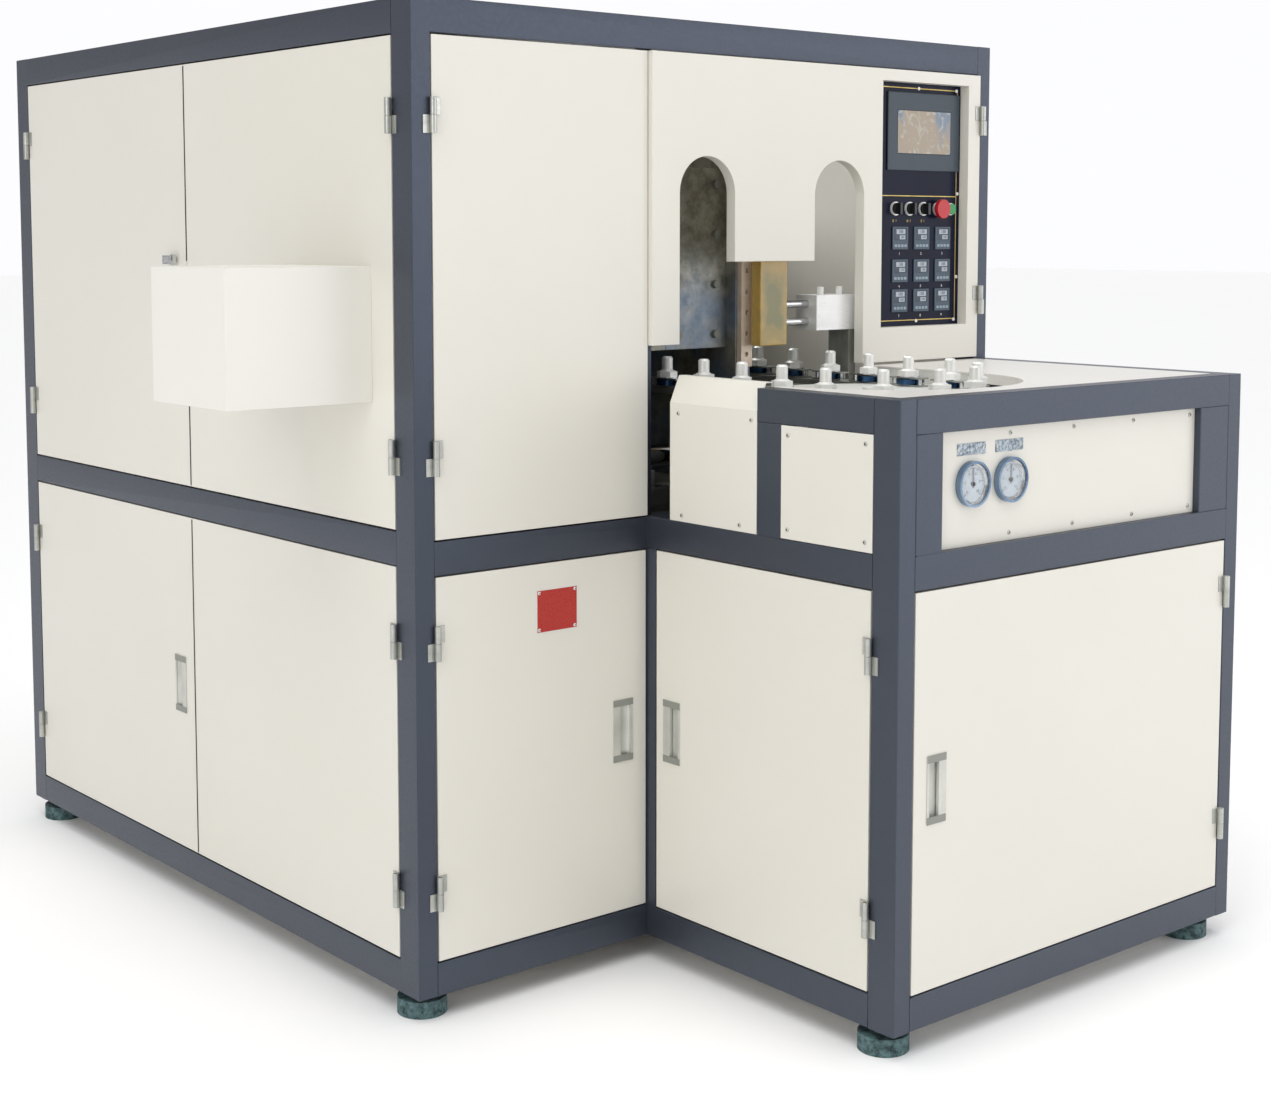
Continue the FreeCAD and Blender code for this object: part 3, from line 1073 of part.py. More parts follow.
def services():
    """Electrical plate, air tank and valve block."""
    back = "300"
    parts = [box("mounting_plate", "60", back, "foot_h + tube_a + 40", "440", "4",
                 f"{RAIL} - 2 * tube_a - foot_h - 90")]
    for i, x in enumerate((60, 480)):
        parts.append(box(f"plate_leg_{i}", str(x), f"{back} + 4", "foot_h + sheet", "20", "30",
                         f"{RAIL} - tube_a - foot_h - 60"))
    for row, (up, deep, tall) in enumerate(((60, 70, 90), (220, 55, 80), (370, 60, 75), (500, 50, 60))):
        for column in range(4):
            parts.append(box(f"device_{row}{column}", f"80 + 102 * {column}", f"{back} - {deep}",
                             f"foot_h + tube_a + {up}", f"86 - 6 * {row}", str(deep), str(tall)))
    node("electrical_plate", group("electrical_plate", parts))
    tank_x, tank_y = "(cab_w - 320)", "(125 - low_d)"
    shell = rod("tank_shell", "y", tank_x, tank_y, "foot_h + 190", "130", "low_d - 205")
    saddles = [box(f"tank_foot_{i}", f"{tank_x} - 90", y, "foot_h + sheet", "180", "20", "80")
               for i, y in enumerate((f"{tank_y} + 60", "0 - 160"))]
    tank = fuse("tank", shell, *saddles)
    rail_x, rail_y = "(low_x + 95)", "(225 - low_d)"
    manifold_block = box("valve_rail", rail_x, rail_y, "foot_h + 420", "260", "60", "40")
    legs = [box(f"valve_leg_{i}", f"{rail_x} + {across}", f"{rail_y} + 20", "foot_h + sheet", "20", "20",
                "418 - sheet") for i, across in enumerate((20, 220))]
    valves = [box(f"valve_{i}", f"{rail_x} + 8 + 42 * {i}", f"{rail_y} + 8", "foot_h + 460", "34", "44", "70")
              for i in range(6)]
    node("air_supply", group("air_supply", [tank, fuse("valve_block", manifold_block, *legs, *valves)]))


# ---------------------------------------------------------------- build

tall_frame()
low_frame()
feet()
fixed_panels()
deck_plate()
guard_cover()
side_access_panel()
panel_fittings(gauge_panel())
front_doors()
side_doors()
window_door()
low_doors()
node("frame_hinge_leaves", group("frame_hinge_leaves", frame_leaves))
control_panel()
chain()
machine_bed(chain_guides())
wheels()
clamp()
mould_half("left_mould", -1)
mould_half("right_mould", 1)
mould_fittings()
base_mould(stretch_unit() + [blow_head()])
transfer_unit()
oven()
services()
doc.recompute()

for item in doc.Objects:
    if "Invalid" in item.State or "Error" in item.State:
        raise RuntimeError(f"{item.Name} did not build: {item.State}")
os.makedirs("parts", exist_ok=True)
for name, item in nodes.items():
    if item.Shape.isNull() or not item.Shape.isValid():
        raise RuntimeError(f"{name} has no valid shape")
    item.Shape.exportStep(f"parts/{name}.step")
print(len(nodes), "pieces written")
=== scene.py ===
"""Looks of a linear stretch blow moulding machine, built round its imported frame. Metres, +Z up."""
import json
import math

import bmesh
import bpy
from mathutils import Matrix, Vector

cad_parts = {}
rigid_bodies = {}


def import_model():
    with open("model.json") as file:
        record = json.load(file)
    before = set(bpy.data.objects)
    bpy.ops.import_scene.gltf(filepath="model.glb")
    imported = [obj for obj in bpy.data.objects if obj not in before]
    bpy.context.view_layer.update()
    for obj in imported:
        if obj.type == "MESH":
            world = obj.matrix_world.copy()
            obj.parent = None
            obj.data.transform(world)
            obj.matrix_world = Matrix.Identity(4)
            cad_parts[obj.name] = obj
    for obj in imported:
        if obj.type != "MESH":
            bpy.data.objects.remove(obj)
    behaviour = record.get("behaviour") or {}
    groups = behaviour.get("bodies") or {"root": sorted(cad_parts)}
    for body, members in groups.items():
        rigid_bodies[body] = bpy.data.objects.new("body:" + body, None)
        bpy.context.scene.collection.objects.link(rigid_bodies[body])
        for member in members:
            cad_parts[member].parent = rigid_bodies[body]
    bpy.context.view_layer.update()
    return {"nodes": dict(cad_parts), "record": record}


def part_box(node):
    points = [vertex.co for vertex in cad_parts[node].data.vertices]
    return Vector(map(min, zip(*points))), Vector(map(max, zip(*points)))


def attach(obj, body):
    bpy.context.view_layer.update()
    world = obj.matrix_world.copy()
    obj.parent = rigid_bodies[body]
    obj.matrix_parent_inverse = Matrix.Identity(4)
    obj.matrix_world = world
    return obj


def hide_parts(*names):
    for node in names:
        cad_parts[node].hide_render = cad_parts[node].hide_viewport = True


MM = 0.001

for stray in list(bpy.data.objects):
    bpy.data.objects.remove(stray)
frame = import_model()
cad = frame["nodes"]
body_of = {node: body for body, members in frame["record"]["behaviour"]["bodies"].items() for node in members}
slot_of = {part["node"]: part["material_slot"] for part in frame["record"]["subparts"]}


# ------------ node trees

def outlet(source):
    """A node's first output in use, or the source itself if it isn't a node."""
    return next(o for o in source.outputs if o.enabled) if isinstance(source, bpy.types.Node) else source


def add(tree, kind, inputs=None, **settings):
    """A node with its settings. An input is a node or a socket to join, or a plain value."""
    item = tree.nodes.new(kind)
    for name, setting in settings.items():
        setattr(item, name, setting)
    for key, source in (inputs or {}).items():
        source = outlet(source)
        if isinstance(source, bpy.types.NodeSocket):
            tree.links.new(source, item.inputs[key])
        else:
            item.inputs[key].default_value = source
    return item


def linear(text):
    """An sRGB hex colour as the linear colour that shaders take."""
    shares = [int(text[i:i + 2], 16) / 255 for i in (1, 3, 5)]
    return tuple(s / 12.92 if s <= 0.04045 else ((s + 0.055) / 1.055) ** 2.4 for s in shares) + (1.0,)


def finish(name, **values):
    """A new material, its tree, its shader and the piece's own coordinates."""
    material = bpy.data.materials.new(name)
    material.use_nodes = True
    tree = material.node_tree
    shader = tree.nodes["Principled BSDF"]
    for key, setting in values.items():
        shader.inputs[key.replace("_", " ")].default_value = setting
    return material, tree, shader, add(tree, "ShaderNodeTexCoord").outputs["Object"]


def join(tree, shader, **sources):
    """Joins nodes to a shader's inputs of the given names."""
    for key, source in sources.items():
        tree.links.new(outlet(source), shader.inputs[key.replace("_", " ")])


def mottle(tree, place, size, low, high, tint, dusk, **more):
    """A noise with spots of a size in metres, and the two tones that it mixes between low and high."""
    spots = add(tree, "ShaderNodeTexNoise", {"Vector": place, "Scale": 1 / size, **more})
    share = add(tree, "ShaderNodeMapRange", {"Value": spots, "From Min": low, "From Max": high})
    return spots, add(tree, "ShaderNodeMix", {0: share, 6: linear(tint), 7: linear(dusk)}, data_type="RGBA")


def surface(tree, shader, tone, height, strength, depth, gloss=None):
    """Ends a finish with its tone, its relief and, if given, its least and greatest roughness."""
    relief = add(tree, "ShaderNodeBump", {"Strength": strength, "Distance": depth, "Height": height})
    join(tree, shader, Base_Color=tone, Normal=relief)
    if gloss:
        join(tree, shader, Roughness=add(tree, "ShaderNodeMapRange", {
            "Value": height, "From Min": 0.3, "From Max": 0.7, "To Min": gloss[0], "To Max": gloss[1]}))


# ------------ finishes

def powder_coat(name, tint, dusk, roughness, peel_mm=5.0, **more):
    """Polyester powder baked on steel: one even satin skin that hides the metal, with a faint
    orange peel that breaks up its highlights and a very slight drift of tone over a panel."""
    material, tree, shader, place = finish(name, Coat_Roughness=0.35, **more)
    tone = mottle(tree, place, 450 * MM, 0.35, 0.65, tint, dusk, Detail=3.0)[1]
    peel = add(tree, "ShaderNodeTexNoise", {"Vector": place, "Scale": 1 / (peel_mm * MM), "Detail": 2.0})
    surface(tree, shader, tone, peel, 0.16, 0.4 * MM, (roughness - 0.05, roughness + 0.06))
    return material


def worked_metal(name, tint, dusk, roughness, grain, metallic=1.0, depth=0.1):
    """Bare metal with tool or grinding lines: the grain gives lines per metre along X, Y and Z, so
    the small number is the way that the lines run. They stretch the highlights across them, and
    handling leaves broad duller stains."""
    material, tree, shader, place = finish(name, Metallic=metallic)
    worn = mottle(tree, place, 60 * MM, 0.35, 0.7, tint, dusk, Detail=5.0)[1]
    along = add(tree, "ShaderNodeMapping", {"Vector": place, "Scale": grain})
    lines = add(tree, "ShaderNodeTexNoise", {"Vector": along, "Scale": 1.0, "Detail": 4.0})
    streak = add(tree, "ShaderNodeMapRange", {"Value": lines, "From Min": 0.3, "From Max": 0.7, "To Max": 0.35})
    cut = add(tree, "ShaderNodeMix", {0: streak, 6: worn, 7: linear(dusk)}, data_type="RGBA")
    surface(tree, shader, cut, lines, depth, 0.4 * MM, (roughness - 0.08, roughness + 0.1))
    return material


def moulded(name, tint, dusk, roughness, grain_mm=1.5, depth=0.12):
    """Injection moulded plastic: one colour through, with the fine spark texture of its tool."""
    material, tree, shader, place = finish(name, IOR=1.5)
    grain = add(tree, "ShaderNodeTexNoise", {"Vector": place, "Scale": 1 / (grain_mm * MM), "Detail": 3.0})
    tone = add(tree, "ShaderNodeMix", {0: grain, 6: linear(tint), 7: linear(dusk)}, data_type="RGBA")
    surface(tree, shader, tone, grain, depth, 0.2 * MM, (roughness - 0.04, roughness + 0.06))
    return material


def cast_rubber():
    """Rubber pads with paint dust on them: dull, mottled blue green with dark pits."""
    material, tree, shader, place = finish("vulcanised_rubber", Roughness=0.75)
    pits, tone = mottle(tree, place, 14 * MM, 0.38, 0.62, "#1F3236", "#5C7A7C", Detail=6.0, Roughness=0.7)
    surface(tree, shader, tone, pits, 0.5, 2 * MM)
    return material


def tempered_steel():
    """Milled tool steel: an oily grey green with brown stains and hardly seen cutter lines, and a
    blue reflection painted into a cloudy patch low down."""
    reflection_fade_level, reflection_full_level = 1.40, 1.24
    material, tree, shader, place = finish("milled_tool_steel", Metallic=0.7)
    stain, worn = mottle(tree, place, 35 * MM, 0.35, 0.68, "#A3A093", "#6D6A5D", Detail=8.0, Roughness=0.7)
    along = add(tree, "ShaderNodeMapping", {"Vector": place, "Scale": (420.0, 420.0, 7.0)})
    lines = add(tree, "ShaderNodeTexNoise", {"Vector": along, "Scale": 1.0, "Detail": 5.0})
    streak = add(tree, "ShaderNodeMapRange", {"Value": lines, "From Min": 0.35, "From Max": 0.65, "To Max": 0.14})
    cut = add(tree, "ShaderNodeMix", {0: streak, 6: worn, 7: linear("#565349")}, data_type="RGBA")
    # painted reflection: a blue cloudy patch fades in below the upper level and is full below the lower one, standing
    # for the blue reflected low on the moulds and platens
    level = add(tree, "ShaderNodeSeparateXYZ", {"Vector": place}).outputs["Z"]
    low = add(tree, "ShaderNodeMapRange", {"Value": level, "From Min": reflection_fade_level, "From Max": reflection_full_level})
    patch = add(tree, "ShaderNodeTexNoise", {"Vector": place, "Scale": 1 / (110 * MM), "Detail": 3.0})
    cloud = add(tree, "ShaderNodeMapRange", {"Value": patch, "From Min": 0.36, "From Max": 0.62, "To Max": 0.75})
    painted_reflection_share = add(tree, "ShaderNodeMath", {0: low, 1: cloud}, operation="MULTIPLY")
    tone = add(tree, "ShaderNodeMix", {0: painted_reflection_share, 6: cut, 7: linear("#647890")}, data_type="RGBA")
    surface(tree, shader, tone, stain, 0.1, 0.5 * MM, (0.38, 0.55))
    return material


def cast_urethane(middle, half):
    """Amber cast polyurethane: a dull olive core, and a brighter honey tone painted near its edges as the
    glow of light coming through them. middle and half are the block's centre and its half sizes."""
    material, tree, shader, place = finish("cast_polyurethane", Roughness=0.24, IOR=1.5, Subsurface_Weight=0.3,
                                           Subsurface_Scale=0.02, Coat_Weight=0.3, Coat_Roughness=0.1)
    centred = add(tree, "ShaderNodeVectorMath", {0: place, 1: tuple(middle)}, operation="SUBTRACT")
    shares = add(tree, "ShaderNodeVectorMath", {0: centred, 1: tuple(half)}, operation="DIVIDE")
    sides = add(tree, "ShaderNodeSeparateXYZ", {"Vector": shares}).outputs
    across = add(tree, "ShaderNodeMath", {0: sides["X"]}, operation="ABSOLUTE")
    upright = add(tree, "ShaderNodeMath", {0: sides["Z"]}, operation="ABSOLUTE")
    outer = add(tree, "ShaderNodeMath", {0: across, 1: upright}, operation="MAXIMUM")
    cloud = add(tree, "ShaderNodeTexNoise", {"Vector": place, "Scale": 1 / (30 * MM), "Detail": 4.0})
    painted_edge_glow = add(tree, "ShaderNodeMath", {0: outer, 1: cloud}, operation="ADD")
    # painted light: the colour turns from the olive core to honey towards the block's edges, for the glow of light
    # through them
    share = add(tree, "ShaderNodeMapRange", {"Value": painted_edge_glow, "From Min": 0.9, "From Max": 1.55})
    tone = add(tree, "ShaderNodeMix", {0: share, 6: linear("#7A7546"), 7: linear("#B3954B")}, data_type="RGBA")
    surface(tree, shader, tone, cloud, 0.1, 1 * MM)
    return material


def printed_film():
    """Polyester film printed from behind: deep navy, smooth and glossy, with a hardly seen ripple."""
    material, tree, shader, place = finish("reverse_printed_film", Roughness=0.3, IOR=1.5, Specular_IOR_Level=0.12)
    ripple = add(tree, "ShaderNodeTexNoise", {"Vector": place, "Scale": 1 / (70 * MM), "Detail": 2.0})
    tone = add(tree, "ShaderNodeMix", {0: ripple, 6: linear("#0E1120"), 7: linear("#141A33")}, data_type="RGBA")
    surface(tree, shader, tone, ripple, 0.06, 1 * MM)
    return material


def display_pane():
    """Unlit liquid crystal panel under its soft protective film: bluish grey, with broad warm patches
    and pale streaks between them; these tones are painted reflections."""
    material, tree, shader, place = finish("unlit_display", Roughness=0.2, IOR=1.5, Specular_IOR_Level=0.25)
    along = add(tree, "ShaderNodeMapping", {"Vector": place, "Scale": (12.0, 12.0, 8.0)})
    warm = mottle(tree, along, 1.0, 0.4, 0.54, "#7E8A98", "#A49888", Detail=2.0, Distortion=1.2)[1]
    reflection_streaks = add(tree, "ShaderNodeTexNoise", {"Vector": place, "Scale": 1 / (30 * MM), "Detail": 1.0,
                                              "Distortion": 2.0})
    thin = add(tree, "ShaderNodeMapRange", {"Value": reflection_streaks, "From Min": 0.56, "From Max": 0.74, "To Max": 0.4})
    # painted reflections: warm patches and pale streaks mixed into the panel's colour
    tone = add(tree, "ShaderNodeMix", {0: thin, 6: warm, 7: linear("#D3D2CE")}, data_type="RGBA")
    surface(tree, shader, tone, reflection_streaks, 0.15, 1 * MM)
    return material


def clear_glass():
    """Thin float glass: clear, with sharp reflections and a little dust. Its low alpha lets the
    light through to what is behind it."""
    material, tree, shader, place = finish("float_glass", IOR=1.46, Transmission_Weight=1.0, Alpha=0.25)
    dust = add(tree, "ShaderNodeTexNoise", {"Vector": place, "Scale": 1 / (8 * MM), "Detail": 3.0})
    join(tree, shader, Roughness=add(tree, "ShaderNodeMapRange", {
        "Value": dust, "From Min": 0.4, "From Max": 0.7, "To Min": 0.01, "To Max": 0.05}))
    return material


def etched_label():
    """Etched aluminium label left blank: bare metal and grey etching in a fine broken mottle."""
    material, tree, shader, place = finish("etched_label_aluminium", Metallic=0.35)
    spots = add(tree, "ShaderNodeTexNoise", {"Vector": place, "Scale": 1 / (5 * MM), "Detail": 4.0, "Roughness": 0.7})
    share = add(tree, "ShaderNodeMapRange", {"Value": spots, "From Min": 0.42, "From Max": 0.58})
    tone = add(tree, "ShaderNodeMix", {0: share, 6: linear("#6C7884"), 7: linear("#B4BDC4")}, data_type="RGBA")
    surface(tree, shader, tone, share, 0.3, 0.2 * MM)
    join(tree, shader, Roughness=add(tree, "ShaderNodeMapRange", {"Value": share, "To Min": 0.6, "To Max": 0.35}))
    return material


CREAM = powder_coat("cream_powder_coat", "#DFDCD3", "#DDDAD0", 0.42, Coat_Weight=0.12)
HOOD_CREAM = powder_coat("warm_white_powder_coat", "#E9E7E0", "#E7E5DD", 0.42, Coat_Weight=0.12)
DECK_CREAM = powder_coat("deck_powder_coat", "#E4E1DC", "#E1DED8", 0.38, Coat_Weight=0.12)
SLATE = powder_coat("slate_powder_coat", "#2A2D32", "#282A2F", 0.46, 6.0, Coat_Weight=0.3,
                    Specular_IOR_Level=0.9, Specular_Tint=linear("#C6DAFF"))
SIGNAL_RED = powder_coat("red_enamel", "#B5251C", "#AB2119", 0.3, 3.0, Coat_Weight=0.12)
TANK_BLUE = powder_coat("blue_machine_enamel", "#2F5573", "#294C68", 0.35, Coat_Weight=0.12)
ZINC = worked_metal("zinc_plate", "#C9CAC4", "#A9ABA6", 0.38, (90, 90, 260), 0.8)
PRESSED_ZINC = worked_metal("pressed_zinc", "#D6D6CF", "#BEBFB8", 0.36, (300, 300, 20), 0.45)
CHROME = worked_metal("hard_chrome", "#D9DBDC", "#B4B7B9", 0.12, (40, 40, 200), 1.0, 0.02)
BLUED_CHROME = worked_metal("blued_gauge_rim", "#93A6BC", "#5F7894", 0.2, (60, 60, 60), 0.9, 0.02)
TURNED_STEEL = worked_metal("turned_bright_steel", "#EFEFEC", "#E3E3DF", 0.36, (40, 40, 160), 0.3, 0.02)
GROUND_STEEL = worked_metal("ground_steel", "#B9BAB6", "#94958F", 0.36, (12, 500, 500), 0.85)
DISC_STEEL = worked_metal("milled_disc_steel", "#E2E3DE", "#D6D7D1", 0.45, (60, 60, 60), 0.1, 0.05)
DARK_STEEL = worked_metal("oiled_black_steel", "#4A4944", "#2E2D28", 0.5, (200, 200, 30), 0.7)
GREY_STEEL = worked_metal("phosphated_grey_steel", "#86877F", "#6B6C65", 0.5, (200, 200, 30), 0.3)
BLUED_STEEL = worked_metal("blued_roller_steel", "#36557A", "#22364F", 0.16, (20, 20, 60), 0.9, 0.03)
BRONZE_BAR = worked_metal("rubbed_bronze", "#D9C9B8", "#B7A594", 0.42, (300, 300, 14), 0.35)
ANODISED = worked_metal("anodised_aluminium", "#E6E6E5", "#D6D6D5", 0.34, (16, 420, 420), 0.35, 0.06)
TOOL_STEEL = tempered_steel()
RUBBER = cast_rubber()
pusher_low, pusher_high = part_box("pusher_block")
AMBER = cast_urethane((pusher_low + pusher_high) / 2, (pusher_high - pusher_low) / 2)
FILM = printed_film()
PANE = display_pane()
GLASS = clear_glass()
ETCHED = etched_label()
GOLD_INK = worked_metal("gold_ink", "#E0C676", "#C9AC58", 0.4, (50, 50, 50), 0.3, 0.02)
SCREEN_CASE = moulded("moulded_slate_abs", "#37444F", "#303C46", 0.45)
CONTROL_CASE = moulded("moulded_blue_grey_abs", "#465767", "#3C4B59", 0.45)
WHITE_NYLON = moulded("moulded_white_nylon", "#E8E8E4", "#DEDED9", 0.4)
KEY_GREY = moulded("moulded_grey_keys", "#93A3B0", "#8393A0", 0.45)
CAP_GREY = moulded("moulded_zinc_grey_abs", "#8F9189", "#84867E", 0.5)
GREY_ABS = moulded("moulded_grey_abs", "#6E7478", "#64696D", 0.5)
BLACK_KNOB = moulded("moulded_black_phenolic", "#17181B", "#101113", 0.32)
STOP_RED = moulded("moulded_red_polycarbonate", "#C01B26", "#B0151F", 0.3)
START_GREEN = moulded("moulded_green_polycarbonate", "#129452", "#0E8448", 0.3)
DIAL_WHITE = moulded("printed_dial", "#D3DEE6", "#C9D5DE", 0.35, 4.0, 0.03)
DIAL_INK = moulded("dial_ink", "#1B1D22", "#15171B", 0.5)
DIGIT_GLOW = moulded("display_segments", "#B5BCC6", "#A5ADB8", 0.4)
WINDOW_GREY = moulded("smoked_window", "#33414F", "#2B3845", 0.35)
EPDM = moulded("extruded_epdm", "#1F2021", "#18191A", 0.7, 2.0)


# ------------ pieces

TOUCH = 0.01 * MM
LONG_EDGE = 80 * MM
FLAT_ANGLE, SHARP_ANGLE, HARD_ANGLE = math.radians(0.6), math.radians(20), math.radians(38)


def in_scene(name, data):
    """A new object in the scene."""
    made = bpy.data.objects.new(name, data)
    bpy.context.scene.collection.objects.link(made)
    return made


def mesh_of(name, work):
    """The work as a plain mesh."""
    mesh = bpy.data.meshes.new(name)
    work.to_mesh(mesh)
    work.free()
    return mesh


def show(name, mesh, body, slot, *finishes):
    """A finished piece on its body. Finishes are given in the order of the faces' material numbers."""
    for material in finishes:
        mesh.materials.append(material)
    piece = in_scene(name, mesh)
    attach(piece, body)
    return piece


def closed_solids(node):
    """The node's separate solids as lists of triangles. A solid is complete when each of its edges
    has met the same edge running the other way."""
    mesh = cad[node].data
    mesh.calc_loop_triangles()
    spots = [tuple(round(c, 6) for c in vertex.co) for vertex in mesh.vertices]
    solids, current, waiting = [], [], set()
    for triangle in mesh.loop_triangles:
        corners = [spots[i] for i in triangle.vertices]
        if len(set(corners)) < 3:
            continue
        current.append(corners)
        for a, b in zip(corners, corners[1:] + corners[:1]):
            if (b, a) in waiting:
                waiting.remove((b, a))
            else:
                waiting.add((a, b))
        if not waiting:
            solids.append(current)
            current = []
    return solids


def span(solid):
    """Lowest and highest corner of a solid."""
    corners = [corner for triangle in solid for corner in triangle]
    return Vector(map(min, zip(*corners))), Vector(map(max, zip(*corners)))


def boxed_edge(edge, low, high):
    """True for a long edge that lies on an edge of the solid's own box."""
    sides = 0
    for axis in range(3):
        a, b = edge.verts[0].co[axis], edge.verts[1].co[axis]
        for face in (low[axis], high[axis]):
            if abs(a - face) < TOUCH and abs(b - face) < TOUCH:
                sides += 1
    return sides == 2 and edge.calc_length() > LONG_EDGE


def rounded(node, radius, finishes, number=None, only_long=False):
    """The node's solids with their hard edges rounded, shown in its place. number gives each
    solid's finish from its box and its turn in the list."""
    whole = bmesh.new()
    for turn, solid in enumerate(closed_solids(node)):
        work = bmesh.new()
        corner_of = {}
        for triangle in solid:
            for corner in triangle:
                if corner not in corner_of:
                    corner_of[corner] = work.verts.new(corner)
            work.faces.new([corner_of[corner] for corner in triangle])
        bmesh.ops.dissolve_limit(work, angle_limit=FLAT_ANGLE, verts=work.verts, edges=work.edges)
        low, high = span(solid)
        work.normal_update()
        hard = [e for e in work.edges if len(e.link_faces) == 2 and e.calc_face_angle() > HARD_ANGLE]
        if only_long:
            hard = [e for e in hard if boxed_edge(e, low, high)]
        if hard:
            bmesh.ops.bevel(work, geom=hard, offset=radius, offset_type="OFFSET", segments=2, profile=0.5,
                            affect="EDGES", clamp_overlap=True)
        index = number(low, high, turn) if number else 0
        for face in work.faces:
            face.material_index = index
            face.smooth = True
        part = mesh_of("part", work)
        whole.from_mesh(part)
        bpy.data.meshes.remove(part)
    mesh = mesh_of(node + "_finished", whole)
    mesh.set_sharp_from_angle(angle=SHARP_ANGLE)
    piece = show(node + "_finished", mesh, body_of[node], slot_of[node], *finishes)
    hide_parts(node)
    return piece


def coat(node, material):
    """Gives a node that keeps its own shape its finish."""
    cad[node].data.materials.clear()
    cad[node].data.materials.append(material)


def add_block(work, low, high, index=0):
    """A block between two corners."""
    made = bmesh.ops.create_cube(work, size=1.0)["verts"]
    low, high = Vector(low), Vector(high)
    middle, size = (low + high) / 2, high - low
    bmesh.ops.transform(work, verts=made, matrix=Matrix.Translation(middle) @ Matrix.Diagonal((*size, 1.0)))
    for face in {face for vertex in made for face in vertex.link_faces}:
        face.material_index = index


def from_work(name, work, body, slot, *finishes):
    """The work shown as a piece."""
    return show(name, mesh_of(name, work), body, slot, *finishes)


# ------------ repeated pieces

def start_tree(name, sizes):
    """An empty Geometry Nodes tree that takes points and named sizes."""
    tree = bpy.data.node_groups.new(name, "GeometryNodeTree")
    tree.interface.new_socket("Points", in_out="INPUT", socket_type="NodeSocketGeometry")
    for label in sizes:
        tree.interface.new_socket(label, in_out="INPUT", socket_type="NodeSocketFloat")
    tree.interface.new_socket("Pieces", in_out="OUTPUT", socket_type="NodeSocketGeometry")
    return tree, add(tree, "NodeGroupInput").outputs


def end_tree(tree, points, finishes):
    """Sets each finish's parts on the points with their Z along the facing, makes them real and
    gives them their material. finishes are pairs of a material and its parts."""
    facing = add(tree, "GeometryNodeInputNamedAttribute", {"Name": "facing"}, data_type="FLOAT_VECTOR")
    aim = add(tree, "FunctionNodeAlignRotationToVector", {"Vector": facing}, axis="Z")
    heading = add(tree, "GeometryNodeInputNamedAttribute", {"Name": "heading"}, data_type="FLOAT")
    spin = add(tree, "FunctionNodeAxisAngleToRotation", {"Axis": (0.0, 0.0, 1.0), "Angle": heading})
    both = add(tree, "FunctionNodeRotateRotation", {"Rotation": aim, "Rotate By": spin}, rotation_space="LOCAL")
    pieces = add(tree, "GeometryNodeJoinGeometry")
    for material, parts in reversed(finishes):
        joined = add(tree, "GeometryNodeJoinGeometry")
        for part in reversed(parts):
            join(tree, joined, Geometry=part)
        placed = add(tree, "GeometryNodeInstanceOnPoints", {"Points": points, "Instance": joined, "Rotation": both})
        real = add(tree, "GeometryNodeRealizeInstances", {"Geometry": placed})
        coated = add(tree, "GeometryNodeSetMaterial", {"Geometry": real, "Material": material})
        join(tree, pieces, Geometry=coated)
    add(tree, "NodeGroupOutput", {"Pieces": pieces})
    return tree


def repeat(name, tree, points, sizes, body):
    """Runs a tree over points of (place, facing, heading) and keeps the result as one plain mesh."""
    mesh = bpy.data.meshes.new(name)
    mesh.from_pydata([p[0] for p in points], [], [])
    mesh.attributes.new("facing", "FLOAT_VECTOR", "POINT")
    mesh.attributes.new("heading", "FLOAT", "POINT")
    for i, point in enumerate(points):
        mesh.attributes["facing"].data[i].vector = point[1]
        mesh.attributes["heading"].data[i].value = point[2]
    piece = in_scene(name, mesh)
    grower = piece.modifiers.new("pieces", "NODES")
    grower.node_group = tree
    for socket in tree.interface.items_tree:
        if socket.item_type == "SOCKET" and socket.in_out == "INPUT" and socket.name in sizes:
            grower[socket.identifier] = sizes[socket.name]
    depsgraph = bpy.context.evaluated_depsgraph_get()
    grown = bpy.data.meshes.new_from_object(piece.evaluated_get(depsgraph))
    piece.modifiers.remove(grower)
    piece.data = grown
    grown.name = name
    if grown.materials[0] is None:      # the points' own empty slot
        grown.materials.pop(index=0)
    for leftover in ("facing", "heading"):
        if leftover in grown.attributes:
            grown.attributes.remove(grown.attributes[leftover])
    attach(piece, body)
    return piece


def screw_tree(name, head, shaded_socket_finish):
    """Pan head screws: a low dome with a hexagon socket in its crown, made as a solid dark hexagon that paints the
    shade in the hole.
    """
    tree, given = start_tree(name, ("Head radius", "Head height", "Socket radius", "Socket depth", "Socket height"))
    ball = add(tree, "GeometryNodeMeshUVSphere", {"Segments": 16, "Rings": 8, "Radius": 1.0})
    size = add(tree, "ShaderNodeCombineXYZ", {"X": given["Head radius"], "Y": given["Head radius"],
                                              "Z": given["Head height"]})
    dome = add(tree, "GeometryNodeTransform", {"Geometry": ball, "Scale": size})
    crown = add(tree, "GeometryNodeSetShadeSmooth", {"Geometry": dome})
    # painted shade: the socket is a solid hexagon in a dark finish standing in for the shaded hole
    hollow = add(tree, "GeometryNodeMeshCylinder", {"Vertices": 6, "Radius": given["Socket radius"],
                                                    "Depth": given["Socket depth"]})
    rise = add(tree, "ShaderNodeCombineXYZ", {"Z": given["Socket height"]})
    socket = add(tree, "GeometryNodeTransform", {"Geometry": hollow, "Translation": rise})
    return end_tree(tree, given["Points"], [(head, [crown]), (shaded_socket_finish, [socket])])


def screws(name, tree, spots, radius, height, body):
    """Screw heads of one size at (place, facing, heading)."""
    sizes = {"Head radius": radius, "Head height": height, "Socket radius": 0.42 * radius,
             "Socket depth": 0.5 * height, "Socket height": 0.76 * height}
    return repeat(name, tree, spots, sizes, body)


def bored(tree, solid, rise, bore):
    """A solid lifted along Z and bored through."""
    lift = add(tree, "ShaderNodeCombineXYZ", {"Z": rise})
    stood = add(tree, "GeometryNodeTransform", {"Geometry": solid, "Translation": lift})
    return add(tree, "GeometryNodeMeshBoolean", {"Mesh 1": stood, "Mesh 2": bore}, operation="DIFFERENCE",
               solver="EXACT")


